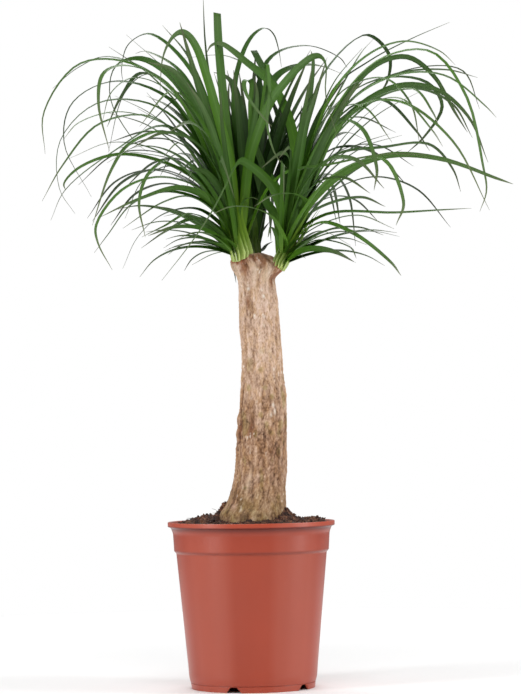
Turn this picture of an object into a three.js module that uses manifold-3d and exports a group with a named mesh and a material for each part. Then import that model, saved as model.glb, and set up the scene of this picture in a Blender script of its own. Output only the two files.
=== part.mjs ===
// Potted ponytail palm: a terracotta-coloured nursery pot filled with dark soil, one corky
// trunk standing in it, and three heads of long strap leaves growing from the trunk's top.
// Millimetres, +Z up. The origin is the centre of the pot's foot, on the surface it stands on,
// and the front is towards -Y.
import * as THREE from 'three';
import { mergeVertices } from 'three/addons/utils/BufferGeometryUtils.js';
import Module from 'manifold-3d';

const wasm = await Module();
wasm.setup();

// ---------- driving dimensions ----------

const clearance = 0.3; // gap between neighbouring pieces
const fifthTurn = (2 * Math.PI) / 5;

const pot = {
  sides: 40,
  wall: 2.4, // wall and floor thickness
  rimZ: 238,
  lipR: 120,
  lipDepth: 6.6, // height of the lip's outer edge
  bandTopR: 112.5, // plain band between the lip and the step
  bandTopZ: 222,
  stepZ: 196.5,
  bandR: 111,
  stepIn: 3, // how far the wall steps in below the band
  wallBottomR: 92.2,
  wallBottomZ: 23,
  footR: 89.4,
  footH: 8.2, // height of the foot ring below the groove
  grooveH: 1.2,
  grooveIn: 0.8,
  floorZ: 9, // underside of the raised floor
  centreFootR: 16, // flat pad in the middle of the floor that also touches down
  notchTurn: -0.1 * Math.PI, // where the first of five drain notches is, from the front
  notchWideBottom: 23,
  notchWideTop: 9,
  notchH: 8,
  drainR: 6,
  drainAt: 72, // distance of the drain holes from the axis
};

const soil = {
  sides: 40,
  rings: 5,
  level: 233, // level near the pot's rim
  edgeZ: 228,
  lump: 1.6, // height of the coarse lumps
  heaps: [ // x, y, height, spread
    [12, 8, 24, 52],
    [50, -15, 16, 22],
    [-43, 22, 28, 19],
  ],
};

const trunk = {
  sides: 32,
  ringStep: 28,
  footZ: 185, // bottom of the part that is sunk in the soil
  barkFromZ: 236, // the bark's ridges fade out below this height
  ridge: 1.5,
  // height, centre across, half the width across, half the depth
  stations: [
    [185, 5, 42, 42],
    [225, 4, 48, 46],
    [248, 3, 48, 46],
    [261, 7.5, 43.5, 42.5],
    [285, 11.2, 38.9, 39],
    [311, 15.1, 36.7, 37],
    [354, 17.2, 35.3, 35.5],
    [397, 19.3, 33.9, 34],
    [441, 19.1, 30.2, 31],
    [484, 18.3, 28.8, 29.5],
    [518, 15.9, 28.8, 29],
    [553, 15, 27.4, 28],
    [579, 13.1, 26.6, 28],
    [591, 14.3, 30.2, 29],
    [600, 15, 36, 30],
    [608, 13, 36.5, 30],
    [614, 10, 33, 28],
    [619, 9, 25, 23],
    [622, 12, 14, 14],
  ],
  topZ: 623,
};

const leafShape = {
  keel: 1.4, // thickness in the middle of a blade at its root
  narrow: 5, // full width of a blade that looks as thin as a line
  strapFrom: 8, // a leaf seen this wide shows its width on the way up, others on the way down
  leastTurn: 0.2,
};

// What is the same for all leaves that are made by rule; a pair is the least and the most.
const ruleShape = {
  bends: 5, // straight pieces of a leaf
  rootOut: 4, // how far from the crown's middle it starts
  rise: [60, 84], // degrees
  droop: [90, 140], // degrees it turns down by at its tip
  droopPower: 1.4, // how late along the leaf its droop comes
  width: [7, 10],
  mostTurn: 0.4,
};

// Leaves are described as they are seen from the front, from this viewpoint: a pair is where
// the leaf passes across and up in the plane of the trunk, and its depth grows along it to
// the depth given for its tip.
const eye = { across: 17, up: 369, distance: 3800, depthPower: 1.2 };

// Each head: where it grows from, its crown, its drawn leaves as
// [width seen, tip depth, [across, up, across, up, ...], blunt tip's share of the width],
// and the rules for the other leaves, each for a range of headings in degrees
// and of lengths.
const heads = {
  head_left: {
    base: [-11, -12, 618],
    lean: -0.2,
    crownR: 13.5,
    crownH: 52,
    leaves: [
      [4, -110, [-35, 676, -65, 748, -130, 821, -210, 814, -265, 754, -295, 703]],
      [3, 35, [-35, 686, -80, 796, -140, 842, -215, 843, -268, 790, -270, 721, -248, 684]],
      [4, 125, [-45, 726, -105, 844, -190, 875, -250, 844, -262, 786, -224, 708]],
      [4, -45, [-45, 741, -100, 854, -170, 902, -240, 900, -291, 831, -290, 771]],
      [2, 170, [-45, 741, -110, 866, -195, 911, -240, 896, -278, 866]],
      [5, -200, [-45, 736, -110, 868, -165, 897, -203, 888, -212, 844, -197, 774]],
      [8, 85, [-50, 776, -100, 874, -150, 907, -187, 896, -195, 851, -160, 787, -142, 772]],
      [4, 70, [-40, 796, -85, 899, -138, 943, -168, 928, -178, 894, -176, 872]],
      [5, 145, [-45, 766, -100, 856, -150, 886, -180, 851, -200, 809]],
      [4, 115, [-45, 760, -95, 850, -140, 885, -175, 856, -199, 772]],
      [2, -80, [-45, 765, -110, 860, -160, 880, -193, 859, -207, 816]],
      [2, -145, [-60, 771, -120, 814, -185, 831, -240, 816, -264, 791]],
      [5, -180, [-50, 741, -110, 800, -165, 786, -195, 746, -223, 667]],
      [4, 55, [-60, 766, -120, 809, -190, 774, -262, 718, -283, 675]],
      [3, 110, [-40, 760, -70, 821, -92, 851, -130, 821, -150, 802]],
      [5, -35, [-50, 706, -100, 748, -180, 769, -240, 751, -263, 728, -261, 718]],
      [2, -125, [-50, 720, -100, 758, -155, 771, -172, 771]],
      [4, -90, [-45, 696, -80, 725, -130, 735, -180, 717, -217, 668, -215, 641, -195, 602]],
      [8, -135, [-45, 694, -95, 719, -155, 704, -213, 678]],
      [4, 25, [-45, 686, -110, 714, -165, 697, -200, 654, -221, 627]],
      [4, -155, [-50, 721, -100, 762, -138, 744, -155, 701, -147, 649]],
      [4, 90, [-50, 715, -110, 751, -150, 730, -176, 676]],
      [4, -110, [-40, 676, -80, 706, -120, 699, -179, 662]],
      [4, 65, [-30, 656, -70, 688, -120, 682, -158, 649, -180, 604]],
      [4, -135, [-35, 656, -80, 682, -120, 664, -152, 649]],
      [8, 65, [-30, 646, -75, 674, -115, 658, -153, 633]],
      [4, -70, [-40, 661, -85, 673, -133, 647]],
      [3, -125, [-25, 641, -65, 654, -93, 650]],
      [3, -55, [-24, 633, -60, 642, -113, 632]],
      [3, 50, [-26, 627, -50, 623, -80, 608]],
      [11, -100, [-19, 716, -26, 770, -40, 825, -55, 881, -69, 922, -81, 940, -92, 945, -105, 936, -118, 909, -123, 860]],
      [3, 55, [-38, 786, -80, 906, -118, 955]],
      [4, 135, [-45, 781, -92, 886, -140, 917, -158, 915]],
      [5, 40, [-24, 743, -38, 810, -50, 868, -57, 930, -59, 1000]],
      [10, 25, [-18, 725, -31, 852, -38, 962, -38, 970], 0.6],
      [11, -120, [-22, 698, -33, 747, -47, 798, -63, 838, -84, 872]],
      [11, -125, [-30, 720, -50, 790, -75, 850, -104, 890, -140, 902]],
      [10, -60, [-3, 716, 5, 779, 13, 819, 17, 851, 15, 874]],
      [2, -215, [-40, 760, -80, 840, -108, 859, -153, 809]],
      [2, -110, [-30, 690, -60, 740, -95, 784, -120, 764]],
      [5, -15, [-7, 639, -2, 662, 9, 678, 27, 689]],
      [3, -40, [-11, 671, -4, 699, 6, 704, 16, 701]],
      [10, -145, [-4, 698, 4, 757, 18, 800, 36, 842, 55, 867, 77, 891, 97, 906, 109, 907, 117, 894, 116, 850, 134, 784]],
      [1, -85, [4, 725, 18, 797, 28, 860, 32, 897, 35, 858, 31, 810, 42, 766, 59, 745]],
      [3, -95, [7, 760, 8, 840, 9, 872, -1, 872, 2, 853, 25, 820, 38, 806]],
      [6, -110, [11, 676, 31, 716, 55, 738, 85, 746, 114, 749, 200, 764, 260, 762]],
    ],
    rules: [
      { count: 6, from: 215, to: 260, length: [240, 360], seed: 4021 },
      { count: 9, from: 112, to: 150, length: [290, 430], seed: 533 },
    ],
  },
  head_right: {
    base: [47, -10, 606],
    lean: 0.45,
    crownR: 11,
    crownH: 50,
    leaves: [
      [3, 70, [75, 706, 125, 856, 180, 899, 240, 930, 297, 954]],
      [4, -35, [70, 696, 125, 851, 180, 909, 232, 927, 282, 912, 304, 892]],
      [4, -110, [90, 740, 150, 861, 205, 906, 270, 911, 319, 846, 341, 748, 346, 709, 336, 679]],
      [7, 65, [95, 751, 130, 826, 190, 893, 235, 904, 272, 877, 302, 824, 320, 794]],
      [4, 135, [80, 730, 150, 841, 215, 879, 290, 885, 336, 873]],
      [4, -70, [80, 735, 155, 844, 225, 879, 290, 876, 345, 833, 362, 815]],
      [2, 155, [85, 750, 130, 820, 190, 868, 260, 890, 316, 882, 338, 828]],
      [7, 20, [85, 696, 135, 806, 215, 861, 275, 857, 322, 816, 349, 750]],
      [4, 110, [90, 740, 190, 844, 250, 858, 300, 834, 327, 786]],
      [4, -145, [90, 750, 130, 810, 200, 851, 245, 857, 270, 824, 278, 806]],
      [5, -170, [95, 726, 160, 831, 225, 839, 298, 782, 350, 681]],
      [4, 90, [90, 750, 150, 831, 200, 842, 245, 798, 265, 768]],
      [4, -100, [90, 770, 140, 856, 200, 874, 238, 838, 251, 778]],
      [4, 155, [90, 770, 140, 845, 200, 874, 262, 867, 284, 832, 258, 789, 233, 766]],
      [3, -200, [90, 750, 130, 800, 180, 838, 225, 844, 268, 799, 284, 774]],
      [4, 110, [82, 766, 112, 878, 175, 937, 208, 909, 206, 871, 188, 844]],
      [10, 45, [63, 724, 71, 760, 77, 787, 81, 836]],
      [11, -50, [65, 692, 75, 751, 86, 805, 99, 843, 118, 902]],
      [12, -100, [72, 692, 85, 729, 104, 772, 126, 808, 150, 849, 172, 872]],
      [11, 30, [70, 710, 86, 764, 101, 808, 119, 842, 145, 874]],
      [4, 60, [80, 778, 90, 821, 99, 898, 96, 915]],
      [3, 125, [80, 740, 110, 806, 165, 906, 186, 931]],
      [3, -80, [80, 740, 105, 816, 130, 871, 170, 918]],
      [8, -120, [70, 666, 130, 731, 200, 761, 280, 756, 360, 727, 385, 718]],
      [5, -200, [68, 660, 125, 734, 195, 758, 226, 696, 215, 661]],
      [4, 80, [85, 696, 125, 761, 200, 774, 265, 777, 298, 741, 309, 708]],
      [5, -225, [90, 726, 135, 811, 168, 801, 188, 746, 184, 712]],
      [4, -125, [85, 720, 140, 831, 172, 832, 211, 781]],
      [6, 70, [62, 646, 100, 685, 165, 702, 200, 688]],
      [4, -25, [62, 641, 115, 678, 215, 679, 280, 682, 324, 684]],
      [4, -110, [60, 631, 105, 663, 160, 676, 212, 656]],
      [6, -160, [60, 634, 105, 666, 155, 649, 205, 609, 221, 588]],
      [3, 45, [62, 626, 105, 654, 149, 633]],
      [3, -65, [62, 620, 100, 641, 148, 630, 157, 614]],
      [4, -50, [60, 624, 80, 639, 105, 648]],
      [2, -25, [60, 616, 72, 621, 84, 615]],
      [10, -245, [63, 663, 52, 708, 38, 739, 24, 757, -4, 764, -16, 745, -28, 718, -52, 677, -85, 633, -124, 586]],
      [5, -125, [54, 636, 48, 656, 36, 675, 21, 685, -2, 691, -27, 690, -50, 680]],
      [3, -80, [77, 677, 85, 697, 70, 708, 52, 709, 34, 705, 11, 691]],
      [10, 20, [71, 724, 71, 778, 61, 823, 45, 858, 26, 881, 5, 898, -17, 917, -35, 928, -48, 925, -55, 914]],
      [9, 60, [69, 733, 66, 787, 54, 836, 40, 869, 26, 890, 13, 915], 0.4],
      [11, 95, [60, 706, 56, 742, 44, 787, 34, 822, 28, 850]],
      [11, 15, [56, 678, 42, 719, 26, 746, 12, 786, 4, 812]],
      [10, 12, [45, 670, 27, 700, 15, 734, 8, 757]],
      [11, 75, [62, 724, 60, 760, 52, 804, 43, 833, 30, 860]],
      [3, -35, [46, 630, 42, 646, 35, 661, 30, 646]],
          ],
    rules: [
      { count: 5, from: -88, to: -52, length: [240, 360], seed: 911 },
      { count: 9, from: 40, to: 70, length: [290, 430], seed: 1207 },
    ],
  },
  head_back: {
    base: [8, 18, 621],
    lean: 0,
    crownR: 10,
    crownH: 52,
    leaves: [
      [3, 85, [15, 800, 20, 876, -25, 909, -92, 907]],
      [9, 70, [4, 734, 1, 788, -7, 833, -16, 866, -28, 880, -45, 886]],
      [4, 150, [10, 756, 33, 901, 88, 923, 135, 906, 148, 890]],
      [8, 170, [20, 786, 33, 858, 48, 881, 69, 892, 91, 895, 113, 892, 141, 881]],
      [3, 45, [14, 643, 32, 668]],
      [6, 60, [-10, 740, -16, 838, -12, 882, 3, 925, 17, 943, 31, 949, 42, 940, 49, 918, 53, 892]],
      [3, 50, [-8, 640, -20, 622, -17, 581]],
      [10, 60, [2, 689, -10, 743, -15, 788, -16, 830]],
      [12, 55, [8, 641, 6, 671, 4, 707, 6, 747, 10, 790]],
      [10, 75, [12, 650, 16, 689, 20, 725, 17, 761, 14, 800]],
      [10, 90, [10, 665, 17, 700, 28, 743, 28, 788, 36, 833]],
      [10, 110, [10, 665, 24, 712, 42, 760, 56, 820]],
      [9, 90, [2, 690, -14, 760, -30, 830]],
      [9, 95, [11, 660, 26, 700, 60, 760, 84, 800]],
      [3, 40, [21, 627, 28, 635, 37, 640]],
    ],
    rules: [
      { count: 14, from: 72, to: 110, length: [300, 440], seed: 77 },
    ],
  },
};

// ---------- shared helpers ----------

// Joins equal corners, drops the flat triangles at a lathe's poles, and makes a solid.
function solidOf(geometry) {
  const bare = geometry.clone();
  bare.deleteAttribute('normal');
  bare.deleteAttribute('uv');
  const merged = mergeVertices(bare, 1e-3);
  const corners = merged.index.array;
  const kept = [];
  for (let i = 0; i < corners.length; i += 3) {
    const [a, b, c] = corners.slice(i, i + 3);
    if (a !== b && b !== c && c !== a) kept.push(a, b, c);
  }
  const vertProperties = new Float32Array(merged.attributes.position.array);
  const triVerts = new Uint32Array(kept);
  return new wasm.Manifold(new wasm.Mesh({ numProp: 3, vertProperties, triVerts }));
}

function meshOf(name, solid, material) {
  const result = solid.getMesh();
  const geometry = new THREE.BufferGeometry();
  geometry.setAttribute('position', new THREE.BufferAttribute(result.vertProperties, 3));
  geometry.setIndex(new THREE.BufferAttribute(result.triVerts, 1));
  geometry.computeVertexNormals();
  const mesh = new THREE.Mesh(geometry, material);
  mesh.name = name;
  return mesh;
}

// A lathe turned about Z from [radius, height] pairs.
function turned(profile, sides) {
  const points = profile.map(([r, z]) => new THREE.Vector2(r, z));
  const geometry = new THREE.LatheGeometry(points, sides);
  geometry.rotateX(Math.PI / 2);
  return geometry;
}

// Moves every corner of a geometry with a function of the corner.
function reshape(geometry, move) {
  const place = geometry.attributes.position;
  const corner = new THREE.Vector3();
  for (let i = 0; i < place.count; i += 1) {
    corner.fromBufferAttribute(place, i);
    move(corner);
    place.setXYZ(i, corner.x, corner.y, corner.z);
  }
  return geometry;
}

// Random numbers from 0 to 1 that are the same every time.
function seededDraw(seed) {
  let state = seed;
  return () => {
    state = (state * 16807) % 2147483647;
    return state / 2147483647;
  };
}

// ---------- pot ----------

// Radius of the pot's outer wall at a height between the foot and the lip.
function potOuterR(z) {
  if (z >= pot.stepZ) {
    const rise = (z - pot.stepZ) / (pot.bandTopZ - pot.stepZ);
    return THREE.MathUtils.lerp(pot.bandR, pot.bandTopR, rise);
  }
  const rise = (z - pot.wallBottomZ) / (pot.stepZ - pot.stepIn - pot.wallBottomZ);
  return THREE.MathUtils.lerp(pot.wallBottomR, pot.bandR - pot.stepIn, Math.min(rise, 1));
}

function potProfile() {
  const { wall, rimZ, lipR, lipDepth, footR, footH, grooveH, grooveIn, floorZ } = pot;
  const grooveTop = footH + grooveH;
  const floorTop = floorZ + wall;
  const underStep = pot.stepZ - pot.stepIn;
  return [
    [0, 0],
    [pot.centreFootR - 1, 0],
    [pot.centreFootR, 1],
    [pot.centreFootR, floorZ],
    [footR - wall - 1, floorZ],
    [footR - wall - 0.4, 0],
    [footR - 0.8, 0],
    [footR, footH],
    [footR - grooveIn, footH + 0.1],
    [footR - grooveIn, grooveTop],
    [footR + 0.6, grooveTop + 0.1],
    [potOuterR(pot.wallBottomZ) - 0.8, 14.5],
    [potOuterR(pot.wallBottomZ), pot.wallBottomZ],
    [potOuterR(underStep), underStep],
    [potOuterR(pot.stepZ), pot.stepZ],
    [pot.bandTopR, pot.bandTopZ],
    [lipR - 5, rimZ - lipDepth - 2],
    [lipR - 0.6, rimZ - lipDepth],
    [lipR, rimZ - lipDepth + 0.8],
    [lipR, rimZ - 1],
    [lipR - 1, rimZ],
    [lipR - 3.4, rimZ],
    [lipR - 6.4, rimZ - 3.4],
    [pot.bandTopR - wall, pot.bandTopZ - 1],
    [pot.bandR - wall, pot.stepZ + 0.6],
    [pot.bandR - pot.stepIn - wall, underStep],
    [potOuterR(pot.wallBottomZ) - wall, pot.wallBottomZ],
    [footR - 3.4, floorTop + 2.4],
    [footR - 6, floorTop],
    [0, floorTop],
  ];
}

// A wedge-sided drain notch through the foot ring, wider at the bottom.
function notchCutter() {
  const halfBottom = pot.notchWideBottom / 2;
  const halfTop = pot.notchWideTop / 2;
  const outline = new THREE.Shape();
  outline.moveTo(-halfBottom - 0.9, -1);
  outline.lineTo(halfBottom + 0.9, -1);
  outline.lineTo(halfTop, pot.notchH);
  outline.lineTo(-halfTop, pot.notchH);
  const geometry = new THREE.ExtrudeGeometry(outline, { depth: 14, bevelEnabled: false });
  geometry.rotateX(Math.PI / 2);
  geometry.translate(0, 7 - pot.footR, 0);
  return geometry;
}

function drainCutter() {
  const depth = pot.wall + 4;
  const geometry = new THREE.CylinderGeometry(pot.drainR, pot.drainR, depth, 12);
  geometry.rotateX(Math.PI / 2);
  geometry.translate(0, -pot.drainAt, pot.floorZ + pot.wall / 2);
  return geometry;
}

function makePot(material) {
  let body = solidOf(turned(potProfile(), pot.sides));
  for (let i = 0; i < 5; i += 1) {
    const turn = pot.notchTurn + i * fifthTurn;
    body = body.subtract(solidOf(notchCutter().rotateZ(turn)));
    body = body.subtract(solidOf(drainCutter().rotateZ(turn)));
  }
  return meshOf('pot', body, material);
}

// ---------- trunk ----------

// Reads a column of the trunk's stations at a height, along a smooth curve.
function stationAt(z, column) {
  const rows = trunk.stations;
  let i = 1;
  while (i < rows.length - 1 && rows[i][0] < z) i += 1;
  const [z0, z1] = [rows[i - 1][0], rows[i][0]];
  const t = THREE.MathUtils.clamp((z - z0) / (z1 - z0), 0, 1);
  const slope = (k) => {
    const low = rows[Math.max(k - 1, 0)];
    const high = rows[Math.min(k + 1, rows.length - 1)];
    return ((high[column] - low[column]) / (high[0] - low[0])) * (z1 - z0);
  };
  const [a, b] = [rows[i - 1][column], rows[i][column]];
  const [p, q] = [slope(i - 1), slope(i)];
  const t2 = t * t;
  const t3 = t2 * t;
  return (2 * t3 - 3 * t2 + 1) * a + (t3 - 2 * t2 + t) * p + (3 * t2 - 2 * t3) * b + (t3 - t2) * q;
}

// How far the corky bark stands out, from -1 to 1: long ridges that wander round the trunk.
function barkRidge(turn, z) {
  const wide = Math.cos(11 * turn + 1.6 * Math.sin(z / 47));
  const narrow = Math.cos(17 * turn - 1.9 * Math.sin(z / 31 + 2));
  const cross = Math.sin(z / 9 + 3 * turn);
  return 0.45 * wide + 0.35 * narrow + 0.2 * cross;
}

// The trunk's outside, grown by a gap, from its sunk foot to its knuckled top.
function trunkGeometry(gap) {
  const heights = [];
  for (let z = trunk.footZ; z < 584; z += trunk.ringStep) heights.push(z);
  heights.push(591, 598, 604, 609, 614, 618, 621);
  const profile = heights.map((z) => [1, z]);
  const shell = turned([[0, heights[0]], ...profile, [0, trunk.topZ]], trunk.sides);
  return reshape(shell, (corner) => {
    const { x, y, z } = corner;
    const out = Math.hypot(x, y);
    const turn = Math.atan2(y, x);
    const fade = THREE.MathUtils.smoothstep(z, trunk.barkFromZ, trunk.barkFromZ + 40);
    const grown = gap + trunk.ridge * fade * barkRidge(turn, z);
    corner.x = stationAt(z, 1) + out * (stationAt(z, 2) + grown) * Math.cos(turn);
    corner.y = out * (stationAt(z, 3) + grown) * Math.sin(turn);
    if (z === heights[0]) corner.z -= gap;
  });
}

function makeTrunk(material) {
  let body = solidOf(trunkGeometry(0));
  for (const head of Object.values(heads)) {
    body = body.subtract(solidOf(crownGeometry(head, clearance)));
  }
  return meshOf('trunk', body, material);
}

// ---------- soil ----------

function soilTop(x, y) {
  let z = soil.level;
  for (const [hx, hy, height, spread] of soil.heaps) {
    const away = Math.hypot(x - hx, y - hy) / spread;
    z += height * Math.exp(-away * away);
  }
  const lumps = Math.sin(x / 7.3 + 1.3) * Math.cos(y / 6.1) + 0.6 * Math.sin(x / 4.1 - y / 5.2);
  return z + soil.lump * lumps;
}

function makeSoil(material) {
  const edgeR = potOuterR(soil.edgeZ) - pot.wall - clearance;
  const floorTop = pot.floorZ + pot.wall + clearance;
  const under = pot.stepZ - pot.stepIn;
  const inner = pot.wall + clearance;
  const profile = [
    [0, floorTop],
    [pot.footR - 6.4, floorTop],
    [pot.footR - 3.9, floorTop + 2.4],
    [potOuterR(pot.wallBottomZ) - inner, pot.wallBottomZ],
    [pot.bandR - pot.stepIn - inner, under],
    [pot.bandR - inner - 0.2, pot.stepZ + 1],
    [pot.bandTopR - inner - 0.1, pot.bandTopZ - 1],
    [edgeR, soil.edgeZ],
  ];
  for (let i = soil.rings; i >= 0; i -= 1) profile.push([(edgeR - 1.5) * (i / soil.rings), soil.level]);
  const filled = reshape(turned(profile, soil.sides), (corner) => {
    if (corner.z > soil.edgeZ) corner.z = soilTop(corner.x, corner.y);
  });
  const body = solidOf(filled).subtract(solidOf(trunkGeometry(clearance)));
  return meshOf('soil', body, material);
}

// ---------- heads of leaves ----------

// The short crown of packed leaf bases, leaning outwards; its foot sits in the trunk's top.
function crownGeometry(head, gap) {
  const { base, lean, crownR, crownH } = head;
  const sunk = 7;
  const geometry = turned([
    [0, -sunk - gap],
    [crownR * 0.8 + gap, -sunk - gap],
    [crownR + gap, 1],
    [crownR * 0.95 + gap, crownH * 0.5],
    [crownR * 0.6 + gap, crownH * 0.9],
    [0, crownH + gap],
  ], 12);
  geometry.rotateY(lean);
  geometry.translate(...base);
  return geometry;
}

// Puts a point seen at [across, up] from the front at its true place for a given depth.
function placeSeen(across, up, depth) {
  const spread = 1 + depth / eye.distance;
  const x = eye.across + (across - eye.across) * spread;
  const z = eye.up + (up - eye.up) * spread;
  return new THREE.Vector3(x, depth, z);
}

// Path of a drawn leaf: from inside the crown through the places where it is seen.
function drawnPath(head, tipDepth, seen) {
  const root = new THREE.Vector3(...head.base);
  const count = seen.length / 2;
  const path = [];
  for (let i = 0; i < count; i += 1) {
    const along = ((i + 1) / count) ** eye.depthPower;
    const depth = THREE.MathUtils.lerp(root.y, tipDepth, along);
    path.push(placeSeen(seen[2 * i], seen[2 * i + 1], depth));
  }
  const away = path[0].clone().sub(root);
  root.x += THREE.MathUtils.clamp(away.x * 0.2, -6, 6);
  root.z += 4;
  return [root, ...path];
}

// Path of a leaf by rule: it leaves the crown at a heading and a steep rise, and droops more
// and more towards its tip.
function droopingPath(head, heading, rise, droop, length) {
  const place = new THREE.Vector3(...head.base);
  const out = new THREE.Vector3(Math.cos(heading), Math.sin(heading), 0);
  const steps = ruleShape.bends;
  const stride = length / steps;
  place.addScaledVector(out, ruleShape.rootOut);
  const path = [place.clone()];
  for (let i = 0; i < steps; i += 1) {
    const climb = rise - droop * ((i + 0.5) / steps) ** ruleShape.droopPower;
    place.addScaledVector(out, stride * Math.cos(climb));
    place.z += stride * Math.sin(climb);
    path.push(place.clone());
  }
  return path;
}

// A blade along a path: flat above, keeled below, widest a third of the way up, ending in a
// point. The turn tips its upper face over to one side.
function bladeGeometry(path, width, turn, tipShare = 0) {
  const curve = new THREE.CatmullRomCurve3(path);
  const rings = path.length - 1;
  const heading = path[rings].clone().sub(path[0]);
  const flat = new THREE.Vector3(-heading.y, heading.x, 0).normalize();
  const corners = [];
  const faces = [];
  for (let i = 0; i < rings; i += 1) {
    const t = i / rings;
    const middle = curve.getPoint(t);
    const along = curve.getTangent(t);
    const side = flat.clone().addScaledVector(along, -flat.dot(along)).normalize();
    const up = new THREE.Vector3().crossVectors(along, side);
    const across = side.clone().multiplyScalar(Math.cos(turn)).addScaledVector(up, Math.sin(turn));
    const normal = new THREE.Vector3().crossVectors(along, across);
    const taper = Math.min(0.5 + 3.5 * t, 1.5 - (1 - tipShare) * t) * (1 - (1 - tipShare) * t ** 5);
    const half = 0.5 * width * taper;
    const keel = leafShape.keel * (1 - 0.45 * t);
    corners.push(middle.clone().addScaledVector(across, half));
    corners.push(middle.clone().addScaledVector(across, -half));
    corners.push(middle.clone().addScaledVector(normal, -keel));
    if (i > 0) {
      const a = 3 * (i - 1);
      for (let k = 0; k < 3; k += 1) {
        const [p, q] = [a + k, a + ((k + 1) % 3)];
        faces.push(p, q, q + 3, p, q + 3, p + 3);
      }
    }
  }
  const last = 3 * (rings - 1);
  corners.push(path[rings]);
  faces.push(last, last + 1, last + 3, last + 1, last + 2, last + 3, last + 2, last, last + 3);
  faces.push(0, 2, 1);
  const geometry = new THREE.BufferGeometry().setFromPoints(corners);
  geometry.setIndex(faces);
  return geometry;
}

// A drawn leaf gets its full width and is turned so far that it looks as wide as it does.
function drawnBlade(head, [seenWidth, tipDepth, seen, tipShare]) {
  const path = drawnPath(head, tipDepth, seen);
  const width = leafShape.narrow + seenWidth / 2;
  const { x, y } = path[path.length - 1].clone().sub(path[0]);
  const outOfView = Math.atan2(Math.abs(y), Math.abs(x));
  const lying = Math.asin(Math.min(1, seenWidth / width)) - outOfView / 2;
  const strap = seenWidth >= leafShape.strapFrom ? 1 : -1;
  const turn = strap * Math.sign(x * y) * Math.max(leafShape.leastTurn, lying);
  return bladeGeometry(path, width, turn, tipShare);
}

function ruledBlades(head, rule) {
  const { count, from, to } = rule;
  const draw = seededDraw(rule.seed);
  const between = ([least, most]) => THREE.MathUtils.lerp(least, most, draw());
  const blades = [];
  for (let i = 0; i < count; i += 1) {
    const heading = THREE.MathUtils.degToRad(from + ((to - from) * (i + draw())) / count);
    const length = between(rule.length);
    const rise = THREE.MathUtils.degToRad(between(ruleShape.rise));
    const droop = THREE.MathUtils.degToRad(between(ruleShape.droop));
    const width = between(ruleShape.width);
    const turn = between([-ruleShape.mostTurn, ruleShape.mostTurn]);
    blades.push(bladeGeometry(droopingPath(head, heading, rise, droop, length), width, turn));
  }
  return blades;
}

function makeHead(name, head, material) {
  const drawn = head.leaves.map((leaf) => drawnBlade(head, leaf));
  const ruled = head.rules.flatMap((rule) => ruledBlades(head, rule));
  let body = solidOf(crownGeometry(head, 0));
  for (const blade of [...drawn, ...ruled]) body = body.add(solidOf(blade));
  const shells = body.decompose();
  const whole = shells.reduce((best, shell) => (shell.volume() > best.volume() ? shell : best));
  return meshOf(name, whole, material);
}

// ---------- the whole object ----------

function plain(color, roughness) {
  return new THREE.MeshStandardMaterial({ color, roughness, metalness: 0 });
}

const group = new THREE.Group();
group.add(makePot(plain(0xad523a, 0.42)));
group.add(makeSoil(plain(0x32201a, 0.95)));
group.add(makeTrunk(plain(0xbea082, 0.9)));
for (const [name, head] of Object.entries(heads)) {
  group.add(makeHead(name, head, plain(0x37642d, 0.5)));
}

export default group;
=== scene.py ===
# Potted ponytail palm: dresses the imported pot, soil, trunk and leaf heads with finer surfaces.
# Sizes are in millimetres unless a note says otherwise, and become metres where a mesh is made.
import math

import bpy
import numpy as np
from mathutils import Matrix, Vector


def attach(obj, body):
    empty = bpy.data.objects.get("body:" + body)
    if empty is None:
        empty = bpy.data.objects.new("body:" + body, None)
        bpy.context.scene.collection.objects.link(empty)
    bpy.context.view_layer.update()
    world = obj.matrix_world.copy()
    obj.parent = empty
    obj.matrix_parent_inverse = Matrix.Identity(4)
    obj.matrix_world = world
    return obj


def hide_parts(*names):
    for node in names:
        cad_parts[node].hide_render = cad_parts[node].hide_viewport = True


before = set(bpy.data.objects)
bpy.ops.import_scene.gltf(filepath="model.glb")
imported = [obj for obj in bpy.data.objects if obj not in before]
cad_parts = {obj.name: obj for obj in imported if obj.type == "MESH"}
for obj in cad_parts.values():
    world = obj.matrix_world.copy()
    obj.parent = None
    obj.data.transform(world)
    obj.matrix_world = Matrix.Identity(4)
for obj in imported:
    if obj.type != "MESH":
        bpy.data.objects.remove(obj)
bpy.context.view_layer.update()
mm = 0.001
print("loaded", len(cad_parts), "nodes")


# Smooth noise from -1 to 1: a random value at each corner of a unit lattice, blended by an
# ease curve inside every cell. The large odd numbers only stir a corner's place and the seed
# into its value.
def latticeNoise(x, y, z, seed=0):
    place = np.stack(np.broadcast_arrays(x, y, z)).astype(float)
    cell = np.floor(place).astype(np.int64)
    part = place - cell
    ease = part * part * (3 - 2 * part)
    total = np.zeros(place.shape[1:])
    for corner in np.ndindex(2, 2, 2):
        i, j, k = (cell[n] + corner[n] for n in range(3))
        mixed = (i * 374761393 + j * 668265263 + k * 1442695041 + seed * 974634777) & 0x7FFFFFFF
        mixed = ((mixed ^ (mixed >> 13)) * 1274126177) & 0x7FFFFFFF
        mixed = mixed ^ (mixed >> 16)
        weight = np.ones(total.shape)
        for n in range(3):
            weight = weight * (ease[n] if corner[n] else 1 - ease[n])
        total += weight * ((mixed & 0xFFFF) / 32767.5 - 1)
    return total


# From 0 at low and below it to 1 at high and above it, with an even ease between.
def easeStep(low, high, value):
    t = np.clip((value - low) / (high - low), 0, 1)
    return t * t * (3 - 2 * t)


# A cubic from one value to another as t goes from 0 to 1, with the given slopes at its ends.
def cubicBlend(t, start, leave, end, arrive):
    t2, t3 = t * t, t * t * t
    return ((2 * t3 - 3 * t2 + 1) * start + (t3 - 2 * t2 + t) * leave
            + (3 * t2 - 2 * t3) * end + (t3 - t2) * arrive)


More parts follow.
